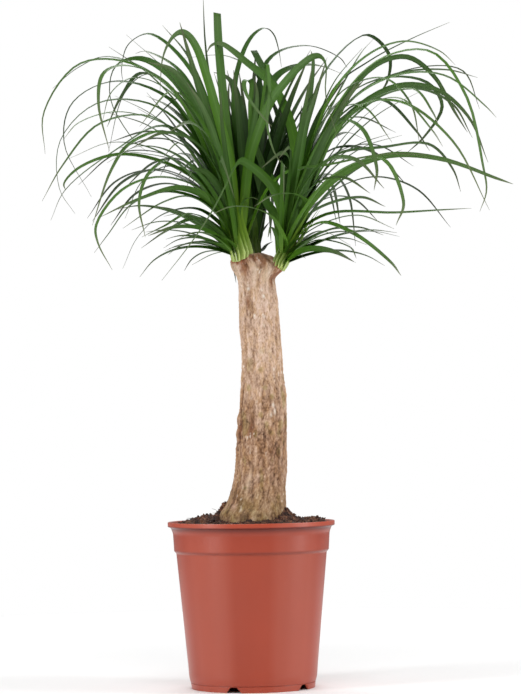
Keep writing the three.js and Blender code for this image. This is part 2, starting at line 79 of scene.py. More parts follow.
# A curve through all the points, bending by the spacing between them, read at even steps of
# the points' own count.
def smoothPath(points, samples):
    points = np.asarray(points, float)
    ends = np.vstack([2 * points[0] - points[1], points, 2 * points[-1] - points[-2]])
    place = np.linspace(0, len(points) - 1, samples)
    span = np.minimum(place.astype(int), len(points) - 2)
    t = (place - span)[:, None]
    p0, p1, p2, p3 = (ends[span + k] for k in range(4))
    pairs = ((p0, p1), (p1, p2), (p2, p3))
    d0, d1, d2 = (np.sqrt(np.linalg.norm(b - a, axis=1, keepdims=True)) + 1e-9 for a, b in pairs)
    leave = ((p1 - p0) / d0 - (p2 - p0) / (d0 + d1) + (p2 - p1) / d1) * d1
    arrive = ((p2 - p1) / d1 - (p3 - p1) / (d1 + d2) + (p3 - p2) / d2) * d1
    return cubicBlend(t, p1, leave, p2, arrive)


# Vectors made one long.
def unit(vectors):
    return vectors / np.maximum(np.linalg.norm(vectors, axis=-1, keepdims=True), 1e-9)


# Even turns all the way round, in radians.
def roundTurns(count):
    return np.linspace(0, 2 * math.pi, count, endpoint=False)


# Random numbers from 0 to 1 that are the same every time: the state is multiplied by a fixed
# factor, and its remainder by a large prime is kept.
class Draw:
    factor, prime = 16807, 2147483647

    def __init__(self, seed):
        self.state = seed

    def __call__(self):
        self.state = self.state * self.factor % self.prime
        return self.state / self.prime


# A value drawn between the two of a pair.
def between(pair, draw):
    least, most = pair
    return least + (most - least) * draw()


# Quads between neighbouring rows of a grid of corners, wrapped round the second way.
def gridFaces(rows, sides, first=0, wrapRows=False):
    i, j = np.meshgrid(np.arange(rows if wrapRows else rows - 1), np.arange(sides), indexing="ij")
    after, beside = (i + 1) % rows, (j + 1) % sides
    quads = np.stack([i * sides + j, i * sides + beside, after * sides + beside, after * sides + j], -1)
    return (quads.reshape(-1, 4) + first).tolist()


# Faces of closed tubes whose corners follow one another, each with rows of corners round it
# and a cap at both ends.
def tubeFaces(rows, sides, count=1, first=0):
    faces = []
    for start in range(first, first + count * rows * sides, rows * sides):
        faces += gridFaces(rows, sides, start)
        faces.append([start + n for n in reversed(range(sides))])
        faces.append([start + (rows - 1) * sides + n for n in range(sides)])
    return faces


# A smooth piece from corners in mm and faces, with its marks as attributes of the corners. It
# rides on the root body and may stand for a CAD node.
def makePiece(name, corners, faces, replaces, material, marks=None):
    mesh = bpy.data.meshes.new(name)
    mesh.from_pydata((np.asarray(corners).reshape(-1, 3) * mm).tolist(), [], faces)
    mesh.polygons.foreach_set("use_smooth", np.ones(len(mesh.polygons), bool))
    for mark, values in (marks or {}).items():
        layer = mesh.attributes.new(mark, "FLOAT", "POINT")
        layer.data.foreach_set("value", np.asarray(values, np.float32).ravel())
    mesh.materials.append(material)
    mesh.update()
    piece = bpy.data.objects.new(name, mesh)
    bpy.context.scene.collection.objects.link(piece)
    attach(piece, "root")
    if replaces:
        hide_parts(replaces)
    return piece


# Short ways to add and join nodes in one tree.
class Nodes:
    def __init__(self, tree):
        self.tree = tree

    def add(self, kind, inputs=None, **settings):
        node = self.tree.nodes.new(kind)
        for key, value in settings.items():
            setattr(node, key, value)
        for key, value in (inputs or {}).items():
            if isinstance(value, bpy.types.NodeSocket):
                self.tree.links.new(value, node.inputs[key])
            else:
                node.inputs[key].default_value = value
        return node

    def math(self, operation, a, b=0.0, clamp=False):
        node = self.add("ShaderNodeMath", {0: a, 1: b}, operation=operation, use_clamp=clamp)
        return node.outputs[0]

    def times(self, a, b):
        return self.math("MULTIPLY", a, b)

    def mark(self, name):
        return self.add("ShaderNodeAttribute", attribute_name=name).outputs["Fac"]

    def place(self):
        return self.add("ShaderNodeTexCoord").outputs["Object"]

    def noise(self, vector, scale, detail=3.0, rough=0.55):
        inputs = {"Vector": vector, "Scale": scale, "Detail": detail, "Roughness": rough}
        return self.add("ShaderNodeTexNoise", inputs).outputs["Fac"]

    def ramp(self, value, stops):
        node = self.add("ShaderNodeValToRGB", {"Fac": value})
        elements = node.color_ramp.elements  # a new ramp has two
        for k, (place, shade) in enumerate(stops):
            stop = elements[k] if k < 2 else elements.new(place)
            stop.position = place
            stop.color = (*shade, 1)
        return node.outputs["Color"]

    def mix(self, factor, a, b, blend="MIX"):
        node = self.add("ShaderNodeMix", data_type="RGBA", blend_type=blend)
        # of this node's many sockets, these take the factor and the two colours
        for socket, value in zip((0, 6, 7), (factor, a, b)):
            if isinstance(value, bpy.types.NodeSocket):
                self.tree.links.new(value, node.inputs[socket])
            elif socket == 0:
                node.inputs[socket].default_value = value
            else:
                node.inputs[socket].default_value = (*value, 1)
        return node.outputs[2]

    def tinted(self, base, tint):
        return self.mix(1.0, base, tint, "MULTIPLY")

    def bump(self, height, strength, distance, normal=None):
        inputs = {"Height": height, "Strength": strength, "Distance": distance}
        if normal is not None:
            inputs["Normal"] = normal
        return self.add("ShaderNodeBump", inputs).outputs["Normal"]


# A new material with its Principled shader, ready for links.
def newMaterial(name):
    material = bpy.data.materials.new(name)
    material.use_nodes = True
    return material, Nodes(material.node_tree), material.node_tree.nodes["Principled BSDF"]


def join(nodes, shader, values):
    for name, value in values.items():
        nodes.tree.links.new(value, shader.inputs[name])


# Photo colours as 0 to 255 values, made linear for the shader.
def colour(red, green, blue):
    share = np.array([red, green, blue]) / 255
    linear = np.where(share <= 0.04045, share / 12.92, ((share + 0.055) / 1.055) ** 2.4)
    return tuple(float(part) for part in linear)


def grey(share):
    return (share, share, share)


# Shared effect: soft patches and fine grain. Gives a tint factor round 1, a roughness and a
# bump height.
def makeGrainGroup():
    group = bpy.data.node_groups.new("patchAndGrain", "ShaderNodeTree")
    for name, start in (("Patch Scale", 20.0), ("Patch", 0.1), ("Grain Scale", 900.0), ("Grain", 0.1),
                        ("Roughness", 0.5)):
        socket = group.interface.new_socket(name, in_out="INPUT", socket_type="NodeSocketFloat")
        socket.default_value = start
    for name in ("Tint", "Rough", "Height"):
        group.interface.new_socket(name, in_out="OUTPUT", socket_type="NodeSocketFloat")
    nodes = Nodes(group)
    given = nodes.add("NodeGroupInput").outputs
    result = nodes.add("NodeGroupOutput").inputs
    place = nodes.place()
    patch = nodes.noise(place, given["Patch Scale"], 2.0)
    grain = nodes.noise(place, given["Grain Scale"], 2.0)
    patchPart = nodes.times(nodes.math("SUBTRACT", patch, 0.5), given["Patch"])
    grainPart = nodes.times(nodes.math("SUBTRACT", grain, 0.5), given["Grain"])
    both = nodes.math("ADD", patchPart, grainPart)
    group.links.new(nodes.math("ADD", both, 1.0), result["Tint"])
    group.links.new(nodes.math("ADD", nodes.times(both, 0.5), given["Roughness"]), result["Rough"])
    group.links.new(grain, result["Height"])
    return group


grainGroup = makeGrainGroup()


# The shared effect in one material: its tint, its roughness and its height.
def addGrain(nodes, values):
    return nodes.add("ShaderNodeGroup", values, node_tree=grainGroup).outputs


# The camera's place, from which the paths of the leaves were read too.
eye = {"across": 17, "up": 369, "distance": 3800}

cameraSet = {
    "aimUp": 488,
    "lens": 136.95,
    "sensor": 36,
    "roll": 0.8,  # degrees
    "seesTo": 50,  # metres
}


# The camera looks a little upwards from low in front, and is rolled a little.
def makeCamera():
    data = bpy.data.cameras.new("camera")
    data.lens, data.sensor_width = cameraSet["lens"], cameraSet["sensor"]
    data.clip_end = cameraSet["seesTo"]
    camera = bpy.data.objects.new("camera", data)
    place = Vector((eye["across"], -eye["distance"], eye["up"])) * mm
    aim = Vector((eye["across"], 0, cameraSet["aimUp"])) * mm
    turn = (aim - place).to_track_quat("-Z", "Y").to_matrix().to_4x4()
    roll = Matrix.Rotation(math.radians(-cameraSet["roll"]), 4, "Z")
    camera.matrix_world = Matrix.Translation(place) @ turn @ roll
    bpy.context.scene.collection.objects.link(camera)
    bpy.context.scene.camera = camera


potSet = {
    "sides": 360,
    "wall": 2.4,
    "rimZ": 238,
    "lipR": 120,
    "lipDepth": 6.6,  # from its top to its underside
    "bandTopR": 112.5,
    "bandTopZ": 222,
    "stepZ": 196.5,
    "bandR": 111,
    "stepIn": 3,  # how far the wall stands in below the band, and the height of the step
    "wallBottomR": 92.2,
    "wallBottomZ": 23,
    "footR": 89.4,
    "footH": 8.2,
    "grooveH": 1.2,  # the groove round the top of the foot ring
    "grooveIn": 0.8,
    "floorZ": 9,
    "centreFootR": 16,  # of the pad under the floor's middle
    "notches": 5,
    "notchTurn": -18,  # degrees from the front, towards the right
    "notchWideBottom": 23,
    "notchWideTop": 9,
    "notchH": 8,
    "ticks": 10,  # small ribs across the groove
    "tickTurn": 2,
    "tickWide": 2.2,
    "tickOut": 0.25,
    "ripple": 0.12,  # soft unevenness of the moulded wall
    "cornerSteps": 5,  # points round each corner of the outline
    "sideStep": 14,  # longest gap between points along a side
    "paintedShadeSpan": 250,
    # painted shade by height, up to the span: dark under the step and under the lip, with a painted
    # highlight on top of the lip
    "paintedShadeAndLipLight": [
        (192.5, (1.0, 1.0, 1.0)),
        (196, (0.66, 0.6, 0.6)),
        (199, (1.0, 0.96, 0.96)),
        (223.25, (0.97, 0.9, 0.9)),
        (229, (0.4, 0.32, 0.34)),
        (231.5, (0.4, 0.32, 0.34)),
        (233, (1.16, 1.2, 1.25)),
    ],
}


# Outline of the pot's wall as [radius, height, rounding] corners, from the middle of its
# underside up the outside, over the lip and down the inside to the middle of its floor.
def potCorners():
    p = potSet
    under = p["stepZ"] - p["stepIn"]
    grooveTop = p["footH"] + p["grooveH"]
    floorTop = p["floorZ"] + p["wall"]
    wall, bandIn = p["wall"], p["bandR"] - p["stepIn"]
    return [
        [0.01, 0.4, 0],
        [4, 0, 2],
        [p["centreFootR"] - 0.6, 0, 0.8],
        [p["centreFootR"], p["floorZ"], 1.6],
        [p["footR"] - wall - 1, p["floorZ"], 1.2],
        [p["footR"] - wall - 0.4, 0, 0.5],
        [p["footR"] - 0.8, 0, 0.6],
        [p["footR"], p["footH"], 0.3],
        [p["footR"] - p["grooveIn"], p["footH"] + 0.1, 0.2],
        [p["footR"] - p["grooveIn"], grooveTop, 0.2],
        [p["footR"] + 0.5, grooveTop + 0.1, 0.4],
        [p["wallBottomR"] - 0.2, p["wallBottomZ"] - 5, 12],
        [p["wallBottomR"] + 0.6, p["wallBottomZ"] + 8, 8],
        [bandIn, under - 0.3, 0.7],
        [p["bandR"], p["stepZ"], 1.2],
        [p["bandTopR"], p["bandTopZ"], 2.4],
        [p["lipR"] - 4.4, p["rimZ"] - p["lipDepth"] - 1.4, 2],
        [p["lipR"] - 0.2, p["rimZ"] - p["lipDepth"], 0.7],
        [p["lipR"], p["rimZ"], 1.1],
        [p["lipR"] - 4, p["rimZ"] - 0.1, 1.8],
        [p["lipR"] - 6.6, p["rimZ"] - 4, 2.5],
        [p["bandTopR"] - wall, p["bandTopZ"] - 1, 3],
        [p["bandR"] - wall, p["stepZ"] + 0.6, 1.5],
        [bandIn - wall, under, 1.5],
        [p["wallBottomR"] - wall, p["wallBottomZ"], 8],
        [p["footR"] - 6, floorTop, 3],
        [0.01, floorTop, 0],
    ]


# Rounds every corner of an outline with a curve that starts and ends on its two sides, and
# adds a few points along each side, close to its ends and spread between them.
def roundedOutline(corners):
    corners = np.asarray(corners, float)
    places = corners[:, :2]
    outline = [places[:1]]
    start = places[0]
    t = np.linspace(0, 1, potSet["cornerSteps"] + 1)[:, None]
    for before, here, after, rounding in zip(places, places[1:], places[2:], corners[1:-1, 2]):
        back, ahead = before - here, after - here
        shorter = min(np.linalg.norm(back), np.linalg.norm(ahead))
        reach = min(rounding, 0.48 * shorter)
        first = here + unit(back) * reach
        last = here + unit(ahead) * reach
        outline.append(sidePoints(start, first))
        outline.append((1 - t) ** 2 * first + 2 * t * (1 - t) * here + t * t * last)
        start = last
    outline.append(sidePoints(start, places[-1]))
    outline.append(places[-1:])
    return np.vstack(outline)


# Points along a straight side, close to its ends and spread between them; a short side has none.
def sidePoints(start, end):
    length = np.linalg.norm(end - start)
    fromEnd, shortest = 0.6, 2.5
    if length < shortest:
        return np.empty((0, 2))
    count = int(length // potSet["sideStep"])
    stops = [fromEnd / length, *np.linspace(0, 1, count + 2)[1:-1], 1 - fromEnd / length]
    return start + np.array(stops)[:, None] * (end - start)


# How far each turn is from the nearest of some even places, the first of them given in degrees.
def fromNearest(turn, first, count):
    step = 2 * math.pi / count
    return (turn - math.radians(first) + step / 2) % step - step / 2


# The pot is its outline turned about the axis. In five places the foot ring's lower edge
# rises to a wedge-sided notch, and in ten the groove is filled by a tick. The wall ripples a
# little above its foot.
def makePot(material):
    p = potSet
    outline = roundedOutline(potCorners())
    r, z = outline[:, :1], outline[:, 1:]
    turn = roundTurns(p["sides"])[None, :]
    besides = np.abs(fromNearest(turn, p["notchTurn"], p["notches"])) * p["footR"]
    halfTop, halfBottom = p["notchWideTop"] / 2, p["notchWideBottom"] / 2
    notch = p["notchH"] * np.clip((halfBottom - besides) / (halfBottom - halfTop), 0, 1)
    onFoot = (r > p["footR"] - p["wall"] - 1.1) & (z < p["footH"] + 0.05)
    high = np.where(onFoot, np.maximum(z, notch), z + 0 * turn)
    ticked = np.abs(fromNearest(turn, p["tickTurn"], p["ticks"])) * p["footR"] < p["tickWide"] / 2
    inGroove = (z > p["footH"] - 0.02) & (z < p["footH"] + p["grooveH"] + 0.05) & (r > p["footR"] - 1.2)
    wide = np.where(inGroove & ticked, p["footR"] + p["tickOut"], r + 0 * turn)
    ripple = p["ripple"] * latticeNoise(3 * np.cos(turn), 3 * np.sin(turn), high / 60, 5)
    wide = wide + ripple * easeStep(20, 60, high) * (r > 60)
    corners = np.stack([wide * np.sin(turn), -wide * np.cos(turn), high + 0 * turn], -1)
    makePiece("potShell", corners, tubeFaces(*corners.shape[:2]), "pot", material)


# Terracotta plastic, a little mottled, with painted sheen as paler bands down its sides, painted shade under
# the step and the lip, and a painted highlight on the lip.
def makePotPlastic():
    material, nodes, shader = newMaterial("terracottaPlastic")
    grain = addGrain(nodes, {"Patch Scale": 9.0, "Patch": 0.24, "Grain Scale": 1400.0, "Grain": 0.05,
                             "Roughness": 0.34})
    place = nodes.place()
    mottle = nodes.ramp(nodes.times(grain["Tint"], 0.5), [(0.3, grey(0.62)), (0.7, grey(1.38))])
    mottled = nodes.tinted(colour(160, 61, 36), mottle)
    # five paler bands round the sides are painted sheen, standing in for reflections of the lamps
    turn = nodes.add("ShaderNodeTexGradient", {"Vector": place}, gradient_type="RADIAL").outputs["Fac"]
    bands = 5
    wave = nodes.math("SINE", nodes.times(turn, bands * 2 * math.pi))
    wave = nodes.math("ADD", wave, nodes.times(grain["Tint"], -0.5))
    paintedSheen = nodes.ramp(nodes.math("MULTIPLY", wave, -1.0, clamp=True), [(0.1, grey(0)), (0.8, grey(0.26))])
    withPaintedSheen = nodes.mix(paintedSheen, mottled, colour(178, 94, 76))
    # painted shade under the step and the lip, and a painted highlight on the lip, set by height
    high = nodes.add("ShaderNodeSeparateXYZ", {0: place}).outputs["Z"]
    span = potSet["paintedShadeSpan"]
    stops = [(z / span, tint) for z, tint in potSet["paintedShadeAndLipLight"]]
    paintedShadeAndLipLight = nodes.ramp(nodes.times(high, 1 / (span * mm)), stops)
    join(nodes, shader, {"Base Color": nodes.tinted(withPaintedSheen, paintedShadeAndLipLight), "Roughness": grain["Rough"],
                         "Normal": nodes.bump(grain["Height"], 0.12, 0.0004)})
    return material


trunkSet = {
    "around": 272,
    "along": 356,
    "footZ": 185,
    "barkFromZ": 236,
    "ridge": 1.5,
    "depth": 2.6,  # of the fine bark, from fissure to plate
    "barkStarts": [(230, 256, 0.35), (250, 310, 0.65)],  # between two heights, a share of the depth
    "calmZ": (430, 600),  # between these heights the bark grows shallower
    "agedZ": (330, 530),  # from old bark to young
    "mossZ": (246, 300),  # from mossy to clean
    "mossSpotZ": (430, 520),  # the last patches of moss
    "knotZ": (578, 612),  # from plain to knotty and stained
    "lumpZ": (596, 612),  # from even to lumpy
    "domeRows": 34,
    "domeZ": 590,  # from here up the rows lie closer together
    "closeZ": 622,  # and from here they draw in to close the top
    "topZ": 623,
    # stubs, hollows and knobs: turn in degrees, height, reach round, reach up, how far out
    "forms": [
        [207, 596, 12, 20, 3.0],
        [232, 600, 11, 11, -3.6],
        [262, 590, 9, 26, 1.6],
        [278, 592, 4, 20, -1.8],
        [295, 586, 13, 15, 2.4],
        [338, 601, 14, 8, 2.4],
        [352, 587, 42, 7, -3.4],
        [4, 603, 26, 6, 1.8],
        [178, 384, 14, 7, 2.6],
        [184, 363, 12, 8, 2.2],
        [176, 342, 16, 9, 2.0],
        [228, 372, 16, 14, -1.4],
        [352, 430, 20, 16, 1.0],
        [12, 500, 16, 20, 0.8],
    ],
    # darker spots, and paler ones below zero: turn in degrees, height, reaches, strength; the darker ones in
    # the hollows under the heads and the stub are painted shade, the paler ones on the knobs painted light,
    # the rest stains
    "shadeAndStains": [
        [232, 601, 10, 12, 1.0],
        [210, 592, 10, 20, -0.9],
        [262, 592, 7, 24, -0.6],
        [294, 588, 11, 13, -0.9],
        [322, 584, 7, 9, 0.9],
        [345, 592, 16, 8, 1.2],
        [275, 614, 24, 6, 0.6],
        [236, 552, 9, 8, 0.6],
        [242, 372, 14, 16, 1.0],
        [205, 366, 12, 16, 1.0],
        [296, 335, 26, 24, 0.4],
        [285, 540, 6, 8, 0.5],
        [246, 297, 7, 13, -1.0],
        [222, 268, 14, 16, 0.5],
    ],
    # small bright scars: turn in degrees, height, reach round, reach up, strength
    "scars": [
        [241, 571, 4, 2.4, 1.2],
        [241, 576, 5, 1.0, 0.6],
        [284, 569, 4, 1.8, 0.8],
        [287, 560, 4, 2.6, 1.2],
        [286, 531, 5, 1.8, 0.6],
        [284, 518, 3, 3.0, 0.5],
        [296, 404, 3, 3.0, 1.0],
        [300, 395, 3, 4.0, 1.0],
        [290, 390, 3, 3.0, 0.7],
    ],
    # height, centre across, half the width across, half the depth
    "stations": [
        [185, 5, 42, 42],
        [225, 4, 48, 46],
        [248, 3, 48, 46],
        [261, 7.5, 43.5, 42.5],
        [285, 11.2, 38.9, 39],
        [311, 15.1, 36.7, 37],
        [354, 17.2, 35.3, 35.5],
        [397, 19.3, 33.9, 34],
        [441, 19.1, 30.2, 31],
        [484, 18.3, 28.8, 29.5],
        [518, 15.9, 28.8, 29],
        [553, 15, 27.4, 28],
        [579, 13.1, 26.6, 28],
        [591, 14.3, 30.2, 29],
        [600, 15, 36, 30],
        [608, 13, 36.5, 30],
        [614, 10, 33, 28],
        [619, 9, 25, 23],
        [622, 12, 14, 14],
    ],
}


# A column of the trunk's stations at any height, along a smooth curve through them.
def stationAt(z, column):
    rows = np.asarray(trunkSet["stations"], float)
    low = np.clip(np.searchsorted(rows[:, 0], z, side="left") - 1, 0, len(rows) - 2)
    heights, values = rows[:, 0], rows[:, column]
    order = np.arange(len(rows))
    before, after = np.maximum(order - 1, 0), np.minimum(order + 1, len(rows) - 1)
    slopes = (values[after] - values[before]) / (heights[after] - heights[before])
    gap = heights[low + 1] - heights[low]
    t = np.clip((z - heights[low]) / gap, 0, 1)
    return cubicBlend(t, values[low], slopes[low] * gap, values[low + 1], slopes[low + 1] * gap)


# Coarse ridges, about 11 and 17 of them round the trunk, that wander as they rise.
def barkRidge(turn, z):
    wide = np.cos(11 * turn + 1.6 * np.sin(z / 47))
    narrow = np.cos(17 * turn - 1.9 * np.sin(z / 31 + 2))
    return 0.45 * wide + 0.35 * narrow + 0.2 * np.sin(z / 9 + 3 * turn)


# Fine bark from 0 in the fissures to 1 on the ridges: upright strands 4 mm wide that wander
# and fade, parted by thin broken fissures, covered with short chips and with grit.
def fineBark(turn, z):
    typicalR = 33
    x, y = typicalR * np.cos(turn), typicalR * np.sin(turn)
    sway = 1.6 * latticeNoise(x / 11, y / 11, z / 19, 2)
    strand = latticeNoise((x + sway) / 3.4, (y - sway) / 3.4, z / 20, 3)
    fissure = 1 - np.clip(3.4 * np.abs(latticeNoise((x - sway) / 5, (y + sway) / 5, z / 17, 5)), 0, 1)
    parting = easeStep(-0.1, 0.4, latticeNoise(x / 6, y / 6, (z + 2 * sway) / 6, 7))
    chip = latticeNoise((x - sway) / 2.0, (y + sway) / 2.0, z / 4.6, 4)
    grit = latticeNoise(x / 1.3, y / 1.3, z / 2.0, 6)
    return np.clip(0.6 + 0.28 * strand - 0.2 * fissure * parting + 0.24 * chip + 0.26 * grit, 0, 1)


# The sum of soft round spots at places on the trunk, each falling off as a bell.
def spotsOn(spots, turn, z):
    total = 0 * z
    for place, high, reachRound, reachUp, strength in spots:
        off = (np.degrees(turn) - place + 180) % 360 - 180
        total = total + strength * np.exp(-((off / reachRound) ** 2) - ((z - high) / reachUp) ** 2)
    return total


# What the bark's material reads: its relief, reddish rims under the heads, moss at the foot
# and in patches, bright flecks and scars, how old it looks, and darker and paler spots, which are stains,
# painted shade in the hollows and painted light on the knobs.
def barkMarks(turn, x, y, z, relief):
    t = trunkSet
    rim = np.zeros(z.shape)
    for head in headSets.values():
        hx, hy, hz = head["base"]
        away = np.sqrt((x - hx) ** 2 + (y - hy) ** 2 + (1.4 * (z - hz)) ** 2)
        rim = np.maximum(rim, 1 - easeStep(head["crownR"], head["crownR"] + 7, away))
    patch = latticeNoise(x / 12, y / 12, z / 20, 11)
    moss = (1 - easeStep(*t["mossZ"], z)) * np.clip(0.55 + 0.9 * patch, 0, 1)
    mossSpots = easeStep(0.3, 0.7, latticeNoise(x / 8, y / 8, z / 13, 12))
    mossSpots = mossSpots * (1 - easeStep(*t["mossSpotZ"], z))
    flecks = easeStep(0.4, 0.8, latticeNoise(x / 2.8, y / 2.8, z / 4.6, 14))
    flecks = flecks * easeStep(0.0, 0.6, latticeNoise(x / 9, y / 9, z / 30, 15))
    flecks = flecks * easeStep(0.45, 0.75, relief)
    knotty = easeStep(*t["knotZ"], z) * np.clip(0.45 + 1.1 * latticeNoise(x / 5, y / 5, z / 7, 16), 0, 1)
    # spots that are painted shade in the hollows and painted light on the knobs, and stains
    spots = spotsOn(t["shadeAndStains"], turn, z) * (1 + 0.7 * patch)
    return {
        "relief": np.clip(relief + 0.12 * barkRidge(turn, z), 0, 1),
        "rim": np.clip(rim * (0.8 + 0.8 * latticeNoise(x / 3, y / 3, z / 3, 9)), 0, 1),
        "moss": np.maximum(moss, 0.7 * mossSpots),
        "fleck": np.clip(flecks + spotsOn(t["scars"], turn, z), 0, 1),
        "aged": np.clip(1.1 - easeStep(*t["agedZ"], z) + 0.45 * patch, 0, 1),
        "shadeAndStain": np.clip(spots + knotty, 0, 1),
        "pale": np.clip(-spots, 0, 1),
    }


# The trunk's outline is read from its stations at every height. Coarse ridges, the forms and
# the fine bark stand out from it, and the crown's top closes as a low dome.
def makeTrunk(material):
    t = trunkSet
    rise = np.linspace(0, 1, t["along"] - t["domeRows"])
    dome = np.linspace(0, 1, t["domeRows"] + 1)[1:]
    heights = np.concatenate([t["footZ"] + (t["domeZ"] - t["footZ"]) * rise,
                              t["domeZ"] + (t["topZ"] - t["domeZ"]) * (1 - (1 - dome) ** 1.7)])
    turn = roundTurns(t["around"])[None, :]
    z = heights[:, None] + 0 * turn
    relief = fineBark(turn, z)
    depth = t["depth"] * sum(share * easeStep(low, high, z) for low, high, share in t["barkStarts"])
    ridges = t["ridge"] * easeStep(t["barkFromZ"] + 14, t["barkFromZ"] + 90, z) * barkRidge(turn, z)
    grown = ridges + spotsOn(t["forms"], turn, z)
    grown = grown + depth * (1 - 0.45 * easeStep(*t["calmZ"], z)) * (relief - 0.66)
    left = np.clip((t["topZ"] - z) / (t["topZ"] - t["closeZ"]), 0, 1)
    closing = np.where(z > t["closeZ"], np.sqrt(left), 1)
    x = stationAt(z, 1) + (stationAt(z, 2) + grown) * closing * np.cos(turn)
    y = (stationAt(z, 3) + grown) * closing * np.sin(turn)
    lumps = 1.2 * latticeNoise(x / 9, y / 9, z / 9, 8) * easeStep(*t["lumpZ"], z)
    corners = np.stack([x, y, z + lumps * (z < t["closeZ"] + 0.5)], -1)
    marks = barkMarks(turn, x, y, z, relief)
    makePiece("trunkBark", corners, tubeFaces(*z.shape), "trunk", material, marks)


# Dry bark from brown fissures to pale ridges, darker where it is aged, with pink and tawny
# patches, dark and bright specks, and over them the marks of the surface.
def makeBarkMaterial():
    material, nodes, shader = newMaterial("corkyBark")
    grain = addGrain(nodes, {"Patch Scale": 34.0, "Patch": 0.9, "Grain Scale": 620.0, "Grain": 1.1,
                             "Roughness": 0.86})
    upright = nodes.add("ShaderNodeMapping", {"Vector": nodes.place(), "Scale": (1.0, 1.0, 0.55)}).outputs[0]
    streak = nodes.noise(upright, 600.0, 4.0, 0.8)
    surface = nodes.math("ADD", nodes.times(nodes.mark("relief"), 0.52), nodes.times(streak, 0.48))
    young = nodes.ramp(surface, [
        (0.26, colour(132, 108, 88)),
        (0.40, colour(190, 170, 148)),
        (0.54, colour(220, 203, 184)),
        (0.70, colour(234, 221, 206)),
        (0.86, colour(250, 242, 234)),
    ])
    old = nodes.ramp(surface, [
        (0.26, colour(84, 60, 42)),
        (0.40, colour(134, 108, 84)),
        (0.54, colour(176, 150, 122)),
        (0.70, colour(206, 184, 158)),
        (0.86, colour(238, 224, 206)),
    ])
    bark = nodes.mix(nodes.mark("aged"), young, old)
    pinkish = nodes.ramp(grain["Tint"], [(0.35, grey(0)), (0.75, grey(0.7))])
    bark = nodes.mix(pinkish, bark, nodes.tinted(bark, colour(242, 216, 208)))
    tawny = nodes.ramp(nodes.noise(upright, 130.0, 2.0, 0.55), [(0.45, grey(0)), (0.62, grey(0.8))])
    bark = nodes.mix(tawny, bark, nodes.tinted(bark, colour(246, 236, 212)))
    bark = nodes.tinted(bark, nodes.ramp(nodes.noise(upright, 400.0, 3.0, 0.6), [
        (0.32, (0.66, 0.6, 0.52)),
        (0.46, (0.97, 0.96, 0.94)),
        (0.6, (1.0, 1.0, 1.0)),
        (0.74, (1.16, 1.15, 1.12)),
    ]))
    # darker spots: stains, and painted shade in the hollows under the heads and the stub
    bark = nodes.mix(nodes.mark("shadeAndStain"), bark, nodes.tinted(bark, colour(186, 156, 134)))
    # paler spots: painted light on the knobs, and a paler patch low down
    bark = nodes.mix(nodes.times(nodes.mark("pale"), 0.5), bark, colour(230, 208, 182))
    bark = nodes.mix(nodes.times(nodes.mark("moss"), 0.85), bark, nodes.tinted(bark, colour(208, 220, 164)))
    bark = nodes.mix(nodes.times(nodes.mark("fleck"), 0.7), bark, colour(244, 236, 224))
    bark = nodes.mix(nodes.mark("rim"), bark, colour(158, 88, 58))
    bumpy = nodes.bump(streak, 0.45, 0.0009, nodes.bump(grain["Height"], 0.4, 0.0006))
    join(nodes, shader, {"Base Color": bark, "Roughness": grain["Rough"], "Normal": bumpy})
    return material


soilSet = {
    "around": 400,
    "across": 84,
    "level": 233,
    "edgeZ": 228,
    "bottomZ": 11.9,
    "fromWall": 0.3,
    "rimDrop": 2.2,  # how far the surface sinks at the wall
    # rings up the wall: height, and how far in from it
    "wallSteps": [(11.9, 3.4), (14, 1.4), (potSet["wallBottomZ"], 0), (100, 0), (190, 0), (197.5, 0.2)],
    "holeX": 4,
    "holeR": 34,
    "holeSteps": [200, 100],  # heights of rings down the hole
    "heaps": [[12, 8, 22, 50], [47, -12, 13, 16], [-36, 14, 22, 13],
              [-68, 8, 11, 28], [95, 0, 7, 20]],  # x, y, height, spread
    "lump": 1.6,
    "crumb": 2.4,  # height of the fine crumbs in the surface
}


# The pot's inner radius at any height.
def potInnerR(z):
    p = potSet
    rise = np.clip((z - p["stepZ"]) / (p["bandTopZ"] - p["stepZ"]), 0, 1)
    lower = (z - p["wallBottomZ"]) / (p["stepZ"] - p["stepIn"] - p["wallBottomZ"])
    wall = p["wallBottomR"] + (p["bandR"] - p["stepIn"] - p["wallBottomR"]) * np.clip(lower, 0, 1)
    return np.where(z >= p["stepZ"], p["bandR"] + (p["bandTopR"] - p["bandR"]) * rise, wall) - p["wall"]


# The heaped surface with its soft lumps, without the crumbs.
def soilTop(x, y):
    z = soilSet["level"] + 0 * x
    for hx, hy, height, spread in soilSet["heaps"]:
        z = z + height * np.exp(-((x - hx) ** 2 + (y - hy) ** 2) / spread ** 2)
    lumps = np.sin(x / 7.3 + 1.3) * np.cos(y / 6.1) + 0.6 * np.sin(x / 4.1 - y / 5.2)
    return z + soilSet["lump"] * lumps


def soilRoughness(x, y):
    coarse = latticeNoise(x / 6.5, y / 6.5, 0 * x, 21)
    crumbs = np.abs(latticeNoise(x / 3.1, y / 3.1, 0 * x + 4, 22))
    return soilSet["crumb"] * (0.8 * coarse + 1.1 * crumbs - 0.4)


